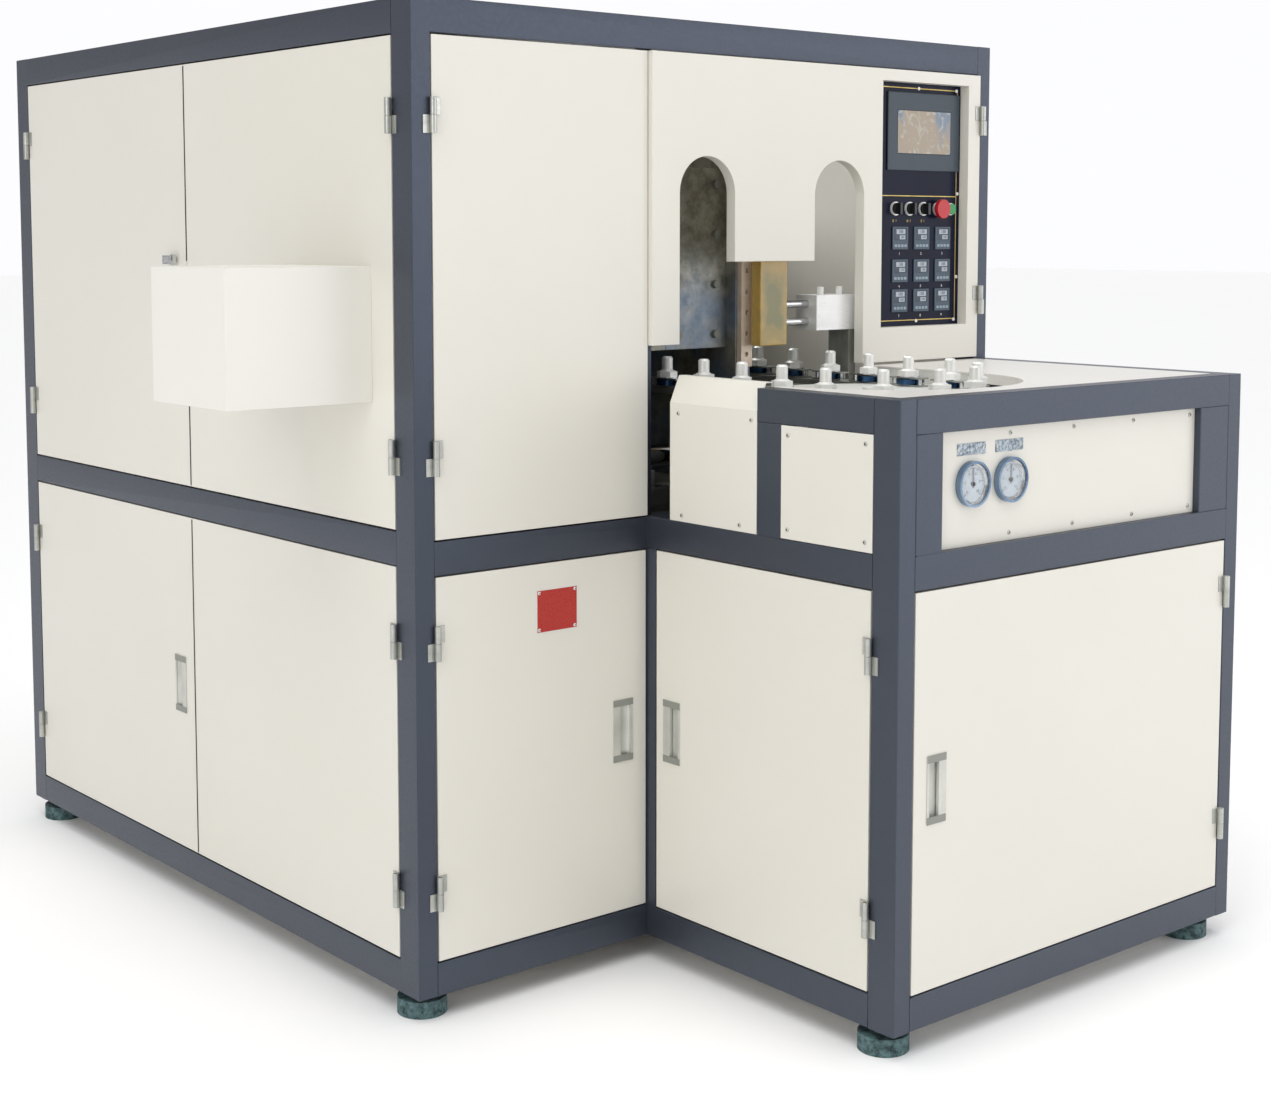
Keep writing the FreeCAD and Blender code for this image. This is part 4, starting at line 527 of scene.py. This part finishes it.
def mandrel_tree():
    """Preform mandrels from the link up: a wide washer, a hexagon nut, a collar, and a turned spigot
    with a chamfered top. Each part is a cone that stands on its own height, bored through for the
    stretch rod."""
    tree, given = start_tree("preform_mandrels", (
        "Washer radius", "Washer height", "Nut radius", "Nut height", "Nut top", "Collar radius", "Collar height",
        "Spigot radius", "Spigot height", "Spigot top", "Top radius", "Chamfer height", "Bore radius", "Bore length"))
    bore = add(tree, "GeometryNodeMeshCylinder", {"Vertices": 20, "Radius": given["Bore radius"],
                                                  "Depth": given["Bore length"]})
    parts = {CHROME: [], TURNED_STEEL: []}
    for material, sides, low, high, depth, base in (
            (CHROME, 32, "Washer radius", "Washer radius", "Washer height", None),
            (TURNED_STEEL, 6, "Nut radius", "Nut radius", "Nut height", "Washer height"),
            (TURNED_STEEL, 24, "Collar radius", "Spigot radius", "Collar height", "Nut top"),
            (TURNED_STEEL, 24, "Spigot radius", "Spigot radius", "Spigot height", "Nut top"),
            (TURNED_STEEL, 24, "Spigot radius", "Top radius", "Chamfer height", "Spigot top")):
        turned = add(tree, "GeometryNodeMeshCone", {"Vertices": sides, "Radius Bottom": given[low],
                                                    "Radius Top": given[high], "Depth": given[depth]})
        parts[material].append(bored(tree, turned, given[base] if base else 0.0, bore))
    return end_tree(tree, given["Points"], list(parts.items()))


def link_tree():
    """Chain links: two side plates, a large blued drum between them under the mandrel, and a bright
    roller at each end. Plates and drum are bored through for the stretch rod."""
    tree, given = start_tree("chain_links", (
        "Length", "Plate width", "Plate height", "Low plate", "High plate", "Middle", "Drum radius", "Drum height",
        "Roller radius", "Roller reach", "Bore radius", "Bore length"))
    size = add(tree, "ShaderNodeCombineXYZ", {"X": given["Length"], "Y": given["Plate width"],
                                              "Z": given["Plate height"]})
    plate = add(tree, "GeometryNodeMeshCube", {"Size": size})
    drum = add(tree, "GeometryNodeMeshCylinder", {"Vertices": 32, "Radius": given["Drum radius"],
                                                  "Depth": given["Drum height"]})
    bore = add(tree, "GeometryNodeMeshCylinder", {"Vertices": 20, "Radius": given["Bore radius"],
                                                  "Depth": given["Bore length"]})
    plates = [bored(tree, plate, given[level], bore) for level in ("Low plate", "High plate")]
    hub = bored(tree, drum, given["Middle"], bore)
    roller = add(tree, "GeometryNodeMeshCylinder", {"Vertices": 20, "Radius": given["Roller radius"],
                                                    "Depth": given["Drum height"]})
    behind = add(tree, "ShaderNodeMath", {0: 0.0, 1: given["Roller reach"]}, operation="SUBTRACT")
    rollers = []
    for reach in (given["Roller reach"], behind):
        spot = add(tree, "ShaderNodeCombineXYZ", {"X": reach, "Z": given["Middle"]})
        rollers.append(add(tree, "GeometryNodeTransform", {"Geometry": roller, "Translation": spot}))
    return end_tree(tree, given["Points"], [(GROUND_STEEL, plates), (BLUED_STEEL, [hub]), (CHROME, rollers)])


def block_tree(name, material):
    """Small flat blocks, such as scale marks and keys."""
    tree, given = start_tree(name, ("Width", "Length", "Depth"))
    size = add(tree, "ShaderNodeCombineXYZ", {"X": given["Width"], "Y": given["Length"], "Z": given["Depth"]})
    block = add(tree, "GeometryNodeMeshCube", {"Size": size})
    return end_tree(tree, given["Points"], [(material, [block])])


DARK_SCREWS = screw_tree("dark_pan_head_screws", ZINC, DARK_STEEL)
BRIGHT_SCREWS = screw_tree("bright_pan_head_screws", WHITE_NYLON, DARK_STEEL)
SCALE_MARKS = block_tree("scale_marks", DIAL_INK)
KEYS = block_tree("controller_keys", KEY_GREY)
FRONT = Vector((0.0, -1.0, 0.0))
LEFT = Vector((-1.0, 0.0, 0.0))
UP = Vector((0.0, 0.0, 1.0))


# ------------ frames, covers and doors

HINGE_SIZE = 80 * MM
HOOD_DEPTH = 100 * MM


def longer(axis, limit):
    """A way to number solids: 0 for those longer than a limit along an axis, and 1 for the rest."""
    return lambda low, high, turn: 0 if getattr(high - low, axis) > limit else 1


def door_number(low, high, turn):
    """0 for a door's sheet and 1 for a hinge half."""
    return 1 if max(high - low) < HINGE_SIZE else 0


def hooded_number(low, high, turn):
    """Like door_number, and 2 for the hood, which is the only solid that is deep all three ways."""
    return 2 if min(high - low) > HOOD_DEPTH else door_number(low, high, turn)


rounded("tall_frame", 1.6 * MM, [SLATE], only_long=True)
rounded("low_frame", 1.6 * MM, [SLATE], only_long=True)
rounded("frame_hinge_leaves", 0.7 * MM, [ZINC])
for sheet in ("fixed_panels", "side_access_panel", "gauge_panel"):
    rounded(sheet, 0.8 * MM, [CREAM])
rounded("guard_cover", 0.9 * MM, [CREAM])
rounded("deck_plate", 0.8 * MM, [DECK_CREAM, DISC_STEEL], longer("x", 200 * MM))
for door in ("front_door_upper", "front_door_lower", "side_door_upper_back", "side_door_lower_front",
             "side_door_lower_back", "low_left_door", "low_front_door", "window_door"):
    rounded(door, 0.9 * MM, [CREAM, ZINC], door_number)
rounded("side_door_upper_front", 0.9 * MM, [CREAM, ZINC, HOOD_CREAM], hooded_number)
rounded("door_latch", 0.8 * MM, [CHROME])
rounded("levelling_feet", 2.5 * MM, [RUBBER, ZINC], longer("x", 60 * MM))


def handle_lining(handle, outward, lip_side):
    """A recessed handle's bright inner sheet, which curves from its open side back under its lip, and
    the two duller end caps on its flange."""
    rounded(handle, 0.7 * MM, [PRESSED_ZINC])
    low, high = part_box(handle)
    flange, flange_depth, sheet, cap = 4 * MM, 1.5 * MM, 0.6 * MM, 13 * MM
    proud, trim, end_gap = 0.4 * MM, 0.1 * MM, 2.2 * MM
    if outward == FRONT:
        corner = Vector((low.x + flange, low.y + flange_depth, low.z + flange))
        across, wide = Vector((1, 0, 0)), high.x - low.x - 2 * flange
    else:
        corner = Vector((low.x + flange_depth, high.y - flange, low.z + flange))
        across, wide = Vector((0, -1, 0)), high.y - low.y - 2 * flange
    inward = -outward
    tall = high.z - low.z - 2 * flange
    curve = [(2.1, 0.3), (2.6, 1.7), (4.2, 3.3), (7.0, 4.8), (11.0, 5.8), (16.0, 6.3), (24.0, 6.7), (37.6, 6.9)]
    outline = [(x * MM, y * MM) for x, y in curve] + [(x * MM, y * MM + sheet) for x, y in reversed(curve)]
    outline = [((wide - x if lip_side < 0 else x), y) for x, y in outline]
    work = bmesh.new()
    ends = [[work.verts.new(corner + across * x + inward * y + UP * z) for x, y in outline]
            for z in (end_gap, tall - end_gap)]
    for i in range(len(outline)):
        face = work.faces.new((ends[0][i - 1], ends[0][i], ends[1][i], ends[1][i - 1]))
        face.smooth = True
    for end in ends:
        work.faces.new(end)
    for bottom in (trim - flange, tall + flange - trim - cap):
        a = corner - across * (flange - trim) - inward * (flange_depth + proud) + UP * bottom
        b = corner + across * (wide + flange - trim) - inward * flange_depth + UP * (bottom + cap)
        add_block(work, [min(p) for p in zip(a, b)], [max(p) for p in zip(a, b)], 1)
    bmesh.ops.recalc_face_normals(work, faces=work.faces)
    piece = from_work(handle + "_lining", work, body_of[handle], slot_of[handle], PRESSED_ZINC, CAP_GREY)
    piece.data.set_sharp_from_angle(angle=math.radians(30))


handle_lining("front_lower_handle", FRONT, -1)
handle_lining("side_lower_handle", LEFT, 1)
handle_lining("low_left_handle", LEFT, -1)
handle_lining("low_front_handle", FRONT, 1)


def meeting_seals():
    """Black rubber lips over the gaps where the side doors meet: dark strips that paint in the shade of those gaps.
    """
    lip, overlap, half, end_gap, hood_gap = 0.6 * MM, 0.1 * MM, 2 * MM, 3 * MM, 2 * MM
    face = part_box("tall_frame")[0].x
    hood = [s for s in map(span, closed_solids("side_door_upper_front")) if min(s[1] - s[0]) > HOOD_DEPTH][0]
    for row, body in (("upper", "upper_side_back_door"), ("lower", "lower_side_back_door")):
        front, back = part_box(f"side_door_{row}_front"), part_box(f"side_door_{row}_back")
        middle = (front[1].y + back[0].y) / 2
        stops = [front[0].z + end_gap, front[1].z - end_gap]
        if row == "upper":
            stops = [stops[0], hood[0].z - hood_gap, hood[1].z + hood_gap, stops[1]]
        work = bmesh.new()
        for low, high in zip(stops[::2], stops[1::2]):
            # painted shade: a dark strip along the gap between the doors
            add_block(work, (face - lip, middle - half, low), (face + overlap, middle + half, high))
        from_work(f"gap_shade_strip_{row}", work, body, "foot_rubber", EPDM)


meeting_seals()


# ------------ screws and plates

def panel_screws():
    """Screws of the covers and the two blank plates over the gauges."""
    plate_size, end_gap = 20 * MM, 5 * MM
    plates = bmesh.new()
    spots, ends = [], []
    for solid in closed_solids("panel_fittings"):
        low, high = span(solid)
        middle, size = (low + high) / 2, high - low
        if max(size) > plate_size:
            trim = Vector((0.0, 0.0, 0.13 * size.z))
            add_block(plates, low + trim, high - trim)
            ends += [(Vector((x, low.y, middle.z)), FRONT, 0.0) for x in (low.x + end_gap, high.x - end_gap)]
        elif size.x < size.y:
            spots.append((Vector((high.x, middle.y, middle.z)), LEFT, 0.3 * len(spots)))
        else:
            spots.append((Vector((middle.x, high.y, middle.z)), FRONT, 0.3 * len(spots)))
    heads = screws("cover_screws", DARK_SCREWS, spots, 4.2 * MM, 2.4 * MM, "machine")
    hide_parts("panel_fittings")
    screws("name_plate_screws", BRIGHT_SCREWS, ends, 2.6 * MM, 1.2 * MM, "machine")
    from_work("gauge_name_plates", plates, "machine", "zinc_steel", ETCHED)


def red_plate():
    """A blank red enamelled plate with a bare rim, screwed to the lower front door."""
    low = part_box("front_door_lower")[0]
    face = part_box("front_lower_handle")[0].y + 1.5 * MM
    wide, tall, rim, inset = 94 * MM, 80 * MM, 1.6 * MM, 6 * MM
    left, bottom = low.x + 226 * MM, low.z + 562 * MM
    right, top = left + wide, bottom + tall
    work = bmesh.new()
    add_block(work, (left, face - 0.8 * MM, bottom), (right, face, top), 1)
    add_block(work, (left + rim, face - 1.0 * MM, bottom + rim), (right - rim, face - 0.7 * MM, top - rim))
    from_work("red_plate", work, "lower_front_door", "panel_paint", SIGNAL_RED, ANODISED)
    spots = [(Vector((x, face - 0.9 * MM, z)), FRONT, 0.0)
             for x in (left + inset, right - inset) for z in (bottom + inset, top - inset)]
    screws("red_plate_screws", BRIGHT_SCREWS, spots, 3.2 * MM, 1.6 * MM, "lower_front_door")


panel_screws()
red_plate()


# ------------ gauges

def text_mesh(name, words, height, place, across, up, material, body, slot, depth=0.15 * MM):
    """Plain numerals as a thin mesh, centred on a place. across and up are the directions of writing."""
    curve = bpy.data.curves.new(name, "FONT")
    curve.body = words
    curve.size = height
    curve.extrude = depth
    curve.align_x, curve.align_y = "CENTER", "CENTER"
    source = in_scene(name, curve)
    mesh = bpy.data.meshes.new_from_object(source.evaluated_get(bpy.context.evaluated_depsgraph_get()))
    bpy.data.objects.remove(source)
    normal = Vector(across).cross(Vector(up))
    turn = Matrix((Vector(across), Vector(up), normal)).transposed().to_4x4()
    mesh.transform(Matrix.Translation(place) @ turn)
    mesh.materials.clear()
    return show(name, mesh, body, slot, material)


DIAL_RADIUS = 35.2 * MM
ROUND_SIDES = 48


def sloped_ring(work, middle, outer, inner, near, far):
    """A ring that slopes back from its outer edge at near to its inner edge at far along Y."""
    rows = []
    back = far + 0.6 * MM
    for radius, y in ((outer, near), (inner, far), (inner, back), (outer, back)):
        rows.append([work.verts.new((middle.x + radius * math.cos(a), y, middle.z + radius * math.sin(a)))
                     for a in (2 * math.pi * i / ROUND_SIDES for i in range(ROUND_SIDES))])
    for row, following in zip(rows, rows[1:] + rows[:1]):
        for i in range(ROUND_SIDES):
            work.faces.new((row[i], row[i - 1], following[i - 1], following[i]))
    bmesh.ops.recalc_face_normals(work, faces=work.faces)


def gauges():
    """Liquid filled pressure gauges: a blued case, a bright sloping rim, a dial with its scale, and the glass."""
    rounded("gauge_cases", 1.2 * MM, [BLUED_CHROME])
    coat("gauge_glasses", GLASS)
    well, start, sweep, steps = 9 * MM, 225, 270, 5
    paper, ink, rim, numeral, numeral_ring = 0.6 * MM, 0.2 * MM, 4.5 * MM, 7 * MM, 19 * MM
    for which, solid in enumerate(closed_solids("gauge_cases"), start=1):
        low, high = span(solid)
        middle = (low + high) / 2
        face = low.y + well
        printed = face - 0.65 * MM
        work = bmesh.new()
        bmesh.ops.create_cone(work, cap_ends=True, segments=ROUND_SIDES, radius1=DIAL_RADIUS, radius2=DIAL_RADIUS,
                              depth=paper, matrix=Matrix.Translation((middle.x, printed + paper / 2, middle.z))
                              @ Matrix.Rotation(math.radians(90), 4, "X"))
        from_work(f"gauge_dial_{which}", work, "machine", "zinc_steel", DIAL_WHITE)
        work = bmesh.new()
        sloped_ring(work, middle, DIAL_RADIUS, DIAL_RADIUS - rim, face - rim, face - 1.2 * MM)
        from_work(f"gauge_rim_{which}", work, "machine", "chrome_rod", CHROME)
        for kind, count, width, length, ring in (("fine", 10 * steps + 1, 0.5, 3.0, 27.6),
                                                 ("coarse", steps + 1, 1.1, 5.5, 26.4)):
            points = []
            for i in range(count):
                angle = math.radians(start - sweep * i / (count - 1))
                out = Vector((math.cos(angle), 0.0, math.sin(angle)))
                spot = Vector((middle.x, printed - ink / 2, middle.z)) + out * ring * MM
                points.append((spot, FRONT, angle - math.pi / 2))
            repeat(f"gauge_{kind}_marks_{which}", SCALE_MARKS, points,
                   {"Width": width * MM, "Length": length * MM, "Depth": ink}, "machine")
        for i in range(steps + 1):
            angle = math.radians(start - sweep * i / steps)
            out = Vector((math.cos(angle), 0.0, math.sin(angle)))
            spot = Vector((middle.x, printed - 0.15 * MM, middle.z)) + out * numeral_ring
            text_mesh(f"gauge_numeral_{which}_{i}", str(2 * i), numeral, spot, -LEFT, UP, DIAL_INK, "machine",
                      "needle_black")
        coat(f"gauge_needle_{which}", DIAL_INK)


gauges()


# ------------ control panel

def control_panel():
    """The control plate's fittings, its gold lines, and what shows on its controllers."""
    rounded("control_plate", 0.5 * MM, [FILM])
    rounded("screen_case", 2.4 * MM, [SCREEN_CASE])
    coat("screen_glass", PANE)
    rounded("temperature_controllers", 1.6 * MM, [CONTROL_CASE])
    for knob in ("selector_1", "selector_2", "selector_3"):
        rounded(knob, 0.8 * MM, [BLACK_KNOB])
    rounded("stop_button", 2.2 * MM, [STOP_RED])
    rounded("start_button", 1.2 * MM, [START_GREEN])
    collar_size, figure, under_switch, under_case, over_switches = 20 * MM, 8 * MM, 14 * MM, 9 * MM, 26 * MM
    rounded("plate_fittings", 0.6 * MM, [TURNED_STEEL, WHITE_NYLON],
            lambda low, high, turn: 0 if max(high - low) > collar_size else 1)
    low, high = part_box("control_plate")
    face, ink_face = low.y, low.y - 0.2 * MM
    ink = bmesh.new()
    thick, raised, inset = 1.8 * MM, 0.25 * MM, 18 * MM
    left, right, bottom, top = low.x + 10.5 * MM, high.x - inset, low.z + inset, high.z - inset
    divider = (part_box("selector_1")[0].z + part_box("selector_1")[1].z) / 2 + over_switches
    for a, b in (((left, top), (right + thick, top + thick)), ((left, bottom), (right + thick, bottom + thick)),
                 ((right, bottom), (right + thick, top)), ((left, divider), (right, divider + thick))):
        add_block(ink, (a[0], face - raised, a[1]), (b[0], face - 0.02 * MM, b[1]))
    from_work("gold_border_lines", ink, "arch_door", "control_black", GOLD_INK)
    for i in (1, 2, 3):
        a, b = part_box(f"selector_{i}")
        spot = Vector(((a.x + b.x) / 2, ink_face, a.z - under_switch))
        text_mesh(f"switch_positions_{i}", "0  1", figure, spot, -LEFT, UP, GOLD_INK, "arch_door", "control_black")
    keys = []
    for i, solid in enumerate(closed_solids("temperature_controllers"), start=1):
        a, b = span(solid)
        middle = Vector(((a.x + b.x) / 2, a.y, (a.z + b.z) / 2))
        window, rows = bmesh.new(), bmesh.new()
        for work, left, right, bottom, top, near, far in (
                (window, -18.8, 18.8, -3.8, 19.8, 0.6, 0.8),
                (rows, -12.0, 15.0, 8.5, 18.5, 0.35, 0.65),
                (rows, -2.0, 15.0, -2.5, 6.0, 0.35, 0.65)):
            add_block(work, middle + Vector((left, near, bottom)) * MM, middle + Vector((right, far, top)) * MM)
        from_work(f"controller_window_{i}", window, "arch_door", "case_plastic", WINDOW_GREY)
        from_work(f"controller_display_{i}", rows, "arch_door", "case_plastic", DIGIT_GLOW)
        for value, height, rise, shift in (("188", 10, 13.5, 1.5), ("180", 8, 1.7, 6.5)):
            text_mesh(f"controller_{i}_row_{height}", value, height * MM, middle + Vector((shift, 0.3, rise)) * MM,
                      -LEFT, UP, WINDOW_GREY, "arch_door", "case_plastic", 0.04 * MM)
        for shift in (-15, -5, 5, 15):
            keys.append((middle + Vector((shift, -0.3, -16)) * MM, FRONT, 0.0))
        text_mesh(f"controller_number_{i}", str(i), figure, Vector((middle.x, ink_face, a.z - under_case)),
                  -LEFT, UP, WHITE_NYLON, "arch_door", "control_black")
    repeat("controller_keys", KEYS, keys, {"Width": 7.5 * MM, "Length": 5.5 * MM, "Depth": 1.0 * MM},
           "arch_door")


control_panel()


# ------------ chain and mandrels

def ring_heading(middle, wheels):
    """Heading of the chain's loop at a point."""
    front, rear = wheels
    if middle.y < front.y or middle.y > rear.y:
        centre = front if middle.y < front.y else rear
        return math.atan2(middle.y - centre.y, middle.x - centre.x) + math.pi / 2
    return math.pi / 2


def chain():
    """Detailed links and mandrels where the frame has plain ones."""
    front_low, front_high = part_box("front_wheel")
    rear_low, rear_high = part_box("drive_wheel")
    wheels = ((front_low + front_high) / 2, (rear_low + rear_high) / 2)
    links = []
    for solid in closed_solids("chain_links"):
        low, high = span(solid)
        middle = (low + high) / 2
        links.append((Vector((middle.x, middle.y, low.z)), UP, ring_heading(middle, wheels)))
    link_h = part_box("chain_links")[1].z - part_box("chain_links")[0].z
    rod_bore, plate = 5.6 * MM, 3 * MM
    sizes = {"Length": 82 * MM, "Plate width": 26 * MM, "Plate height": plate, "Low plate": plate / 2,
             "High plate": link_h - plate / 2, "Middle": link_h / 2, "Drum radius": 23 * MM,
             "Drum height": link_h - 7 * MM, "Roller radius": 7 * MM, "Roller reach": 34 * MM,
             "Bore radius": rod_bore, "Bore length": 4 * link_h}
    piece = repeat("chain_links_finished", link_tree(), links, sizes, "machine")
    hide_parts("chain_links")
    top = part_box("chain_links")[1].z
    spots = []
    for i, solid in enumerate(closed_solids("mandrels")):
        low, high = span(solid)
        spots.append((Vector(((low.x + high.x) / 2, (low.y + high.y) / 2, top)), UP, 0.7 * i))
    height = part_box("mandrels")[1].z - top
    washer, nut, chamfer, spigot = 1.6 * MM, 11 * MM, 3.4 * MM, 10.8 * MM
    sizes = {"Washer radius": 23 * MM, "Washer height": washer, "Nut radius": 20.5 * MM, "Nut height": nut,
             "Nut top": washer + nut, "Collar radius": 16.5 * MM, "Collar height": 3.5 * MM, "Spigot radius": spigot,
             "Spigot height": height - washer - nut - chamfer, "Spigot top": height - chamfer,
             "Top radius": 0.72 * spigot, "Chamfer height": chamfer, "Bore radius": rod_bore,
             "Bore length": 4 * height}
    piece = repeat("mandrels_finished", mandrel_tree(), spots, sizes, "machine")
    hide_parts("mandrels")


def opening_rim():
    """The deck's edge folded down round its opening, so that no dark gap shows above the disc."""
    low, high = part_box("front_wheel")
    middle = (low + high) / 2
    fold, above, steps = 1.5 * MM, 6 * MM, 60
    deck = max(closed_solids("deck_plate"), key=lambda solid: (span(solid)[1] - span(solid)[0]).x)
    edge = min((Vector(corner) - middle).xy.length for triangle in deck for corner in triangle)
    top, bottom = span(deck)[0].z, high.z - above
    work = bmesh.new()
    rows = []
    for radius, z in ((edge, top), (edge, bottom), (edge + fold, bottom), (edge + fold, top)):
        rows.append([work.verts.new((middle.x + radius * math.cos(a), middle.y + radius * math.sin(a), z))
                     for a in (math.pi * (1.02 + 0.98 * i / steps) for i in range(steps + 1))])
    for row, following in zip(rows, rows[1:] + rows[:1]):
        for i in range(steps):
            work.faces.new((row[i], row[i + 1], following[i + 1], following[i]))
    for end in (0, steps):
        work.faces.new([row[end] for row in rows])
    bmesh.ops.recalc_face_normals(work, faces=work.faces)
    from_work("deck_opening_rim", work, "machine", slot_of["deck_plate"], DECK_CREAM)


chain()
opening_rim()
rounded("front_wheel", 0.8 * MM, [DISC_STEEL])
rounded("drive_wheel", 0.8 * MM, [DISC_STEEL])


# ------------ clamp, moulds and services

for mould in ("left_mould", "right_mould", "left_platen", "right_platen"):
    rounded(mould, 1.2 * MM, [TOOL_STEEL])
rounded("clamp_cylinder", 1.5 * MM, [GROUND_STEEL])
rounded("tie_bars", 0.8 * MM, [CHROME, DARK_STEEL], longer("x", 100 * MM))
rounded("mould_fittings", 1.0 * MM, [BRONZE_BAR, GREY_STEEL], longer("z", 100 * MM))
rounded("base_mould", 1.0 * MM, [GROUND_STEEL])
rounded("mould_bridge", 1.2 * MM, [DARK_STEEL, ANODISED, GROUND_STEEL], lambda low, high, turn: turn % 3)
rounded("machine_bed", 0.8 * MM, [DARK_STEEL, GROUND_STEEL], lambda low, high, turn: int(turn in (1, 2, 3, 4)))
coat("stretch_rods", CHROME)
coat("transfer_rods", CHROME)
rounded("pusher_block", 2.5 * MM, [AMBER])
rounded("transfer_cylinder", 1.4 * MM, [ANODISED, WHITE_NYLON, GREY_STEEL],
        lambda low, high, turn: 1 if max(high - low) < 30 * MM else (2 if (high - low).z > 0.2 else 0))
rounded("oven", 1.0 * MM, [ANODISED, GLASS], longer("x", 50 * MM))
rounded("gear_motor", 1.5 * MM, [TANK_BLUE, GROUND_STEEL], lambda low, high, turn: min(turn, 1))
rounded("electrical_plate", 1.5 * MM, [ZINC, GREY_ABS, BLACK_KNOB, WHITE_NYLON],
        lambda low, high, turn: 0 if turn < 3 else 1 + turn % 3)
rounded("air_supply", 1.5 * MM, [TANK_BLUE, ANODISED], longer("y", 300 * MM))


# ------------ studio

def lamp(name, place, aim, size, radiance, tint):
    """A rectangular soft light. Its power follows from its size, so that radiance is its brightness."""
    light = bpy.data.lights.new(name, "AREA")
    light.shape = "RECTANGLE"
    light.size, light.size_y = size
    light.energy = radiance * math.pi * size[0] * size[1]
    light.color = linear(tint)[:3]
    holder = in_scene(name, light)
    holder.location = place
    holder.rotation_euler = (Vector(aim) - Vector(place)).to_track_quat("-Z", "Y").to_euler()


def studio():
    """Pale floor, soft light from above and in front, and the camera."""
    work = bmesh.new()
    bmesh.ops.create_grid(work, x_segments=1, y_segments=1, size=60.0)
    mesh = mesh_of("studio_floor", work)
    material, tree, shader, place = finish("pale_floor_paint", Roughness=0.8)
    cloud = add(tree, "ShaderNodeTexNoise", {"Vector": place, "Scale": 0.4, "Detail": 2.0})
    tone = add(tree, "ShaderNodeMix", {0: cloud, 6: linear("#FAFAFA"), 7: linear("#FCFCFC")},
               data_type="RGBA")
    join(tree, shader, Base_Color=tone)
    mesh.materials.append(material)
    floor = in_scene("studio_floor", mesh)

    world = bpy.data.worlds.new("studio_walls")
    bpy.context.scene.world = world
    world.use_nodes = True
    walls = world.node_tree
    backdrop = walls.nodes["Background"]
    backdrop.inputs["Color"].default_value = linear("#FDFDFF")
    way = add(walls, "ShaderNodeSeparateXYZ", {"Vector": add(walls, "ShaderNodeTexCoord").outputs["Generated"]})
    strength = None
    for side, dark, light, low, high in (("X", -0.25, 0.25, 0.5, 1.0), ("Y", -0.5, 0.2, 0.76, 1.0),
                                         ("Z", 0.5, 0.14, 0.64, 1.0)):
        share = add(walls, "ShaderNodeMapRange", {"Value": way.outputs[side], "From Min": dark, "From Max": light,
                                                  "To Min": low, "To Max": high})
        strength = add(walls, "ShaderNodeMath", {0: strength, 1: share}, operation="MULTIPLY") if strength else share
    join(walls, backdrop, Strength=strength)
    bpy.context.scene.view_settings.view_transform = "Standard"

    lamp("right_softbox", (3.8, -6.0, 2.4), (0.2, -0.4, 0.8), (6.0, 3.4), 1.75, "#F6F6F9")
    lamp("left_softbox", (-6.5, -3.2, 3.0), (-0.2, 0.2, 0.8), (3.6, 3.6), 2.85, "#FFFEFA")
    lamp("cabinet_lamp", (0.35, 0.1, 1.70), (0.35, -0.1, 0.9), (0.6, 0.7), 3.8, "#FFFFFF")
    sun = bpy.data.lights.new("ceiling_light", "SUN")
    sun.energy, sun.angle = 1.8, math.radians(60)
    holder = in_scene("ceiling_light", sun)
    holder.rotation_euler = Vector((0.28, 0.18, -1.0)).to_track_quat("-Z", "Y").to_euler()

    view = bpy.data.cameras.new("front_left_view")
    view.lens = 55.5
    view.sensor_width = 36.0
    view.shift_y = -0.12
    view.clip_end = 200.0
    eye = in_scene("front_left_view", view)
    dip, heading = math.radians(5.05), math.radians(-39.77)
    eye.location = (-2.4605, -3.330, 1.398)
    eye.rotation_euler = (math.pi / 2 - dip, 0.0, heading)
    bpy.context.scene.camera = eye


studio()
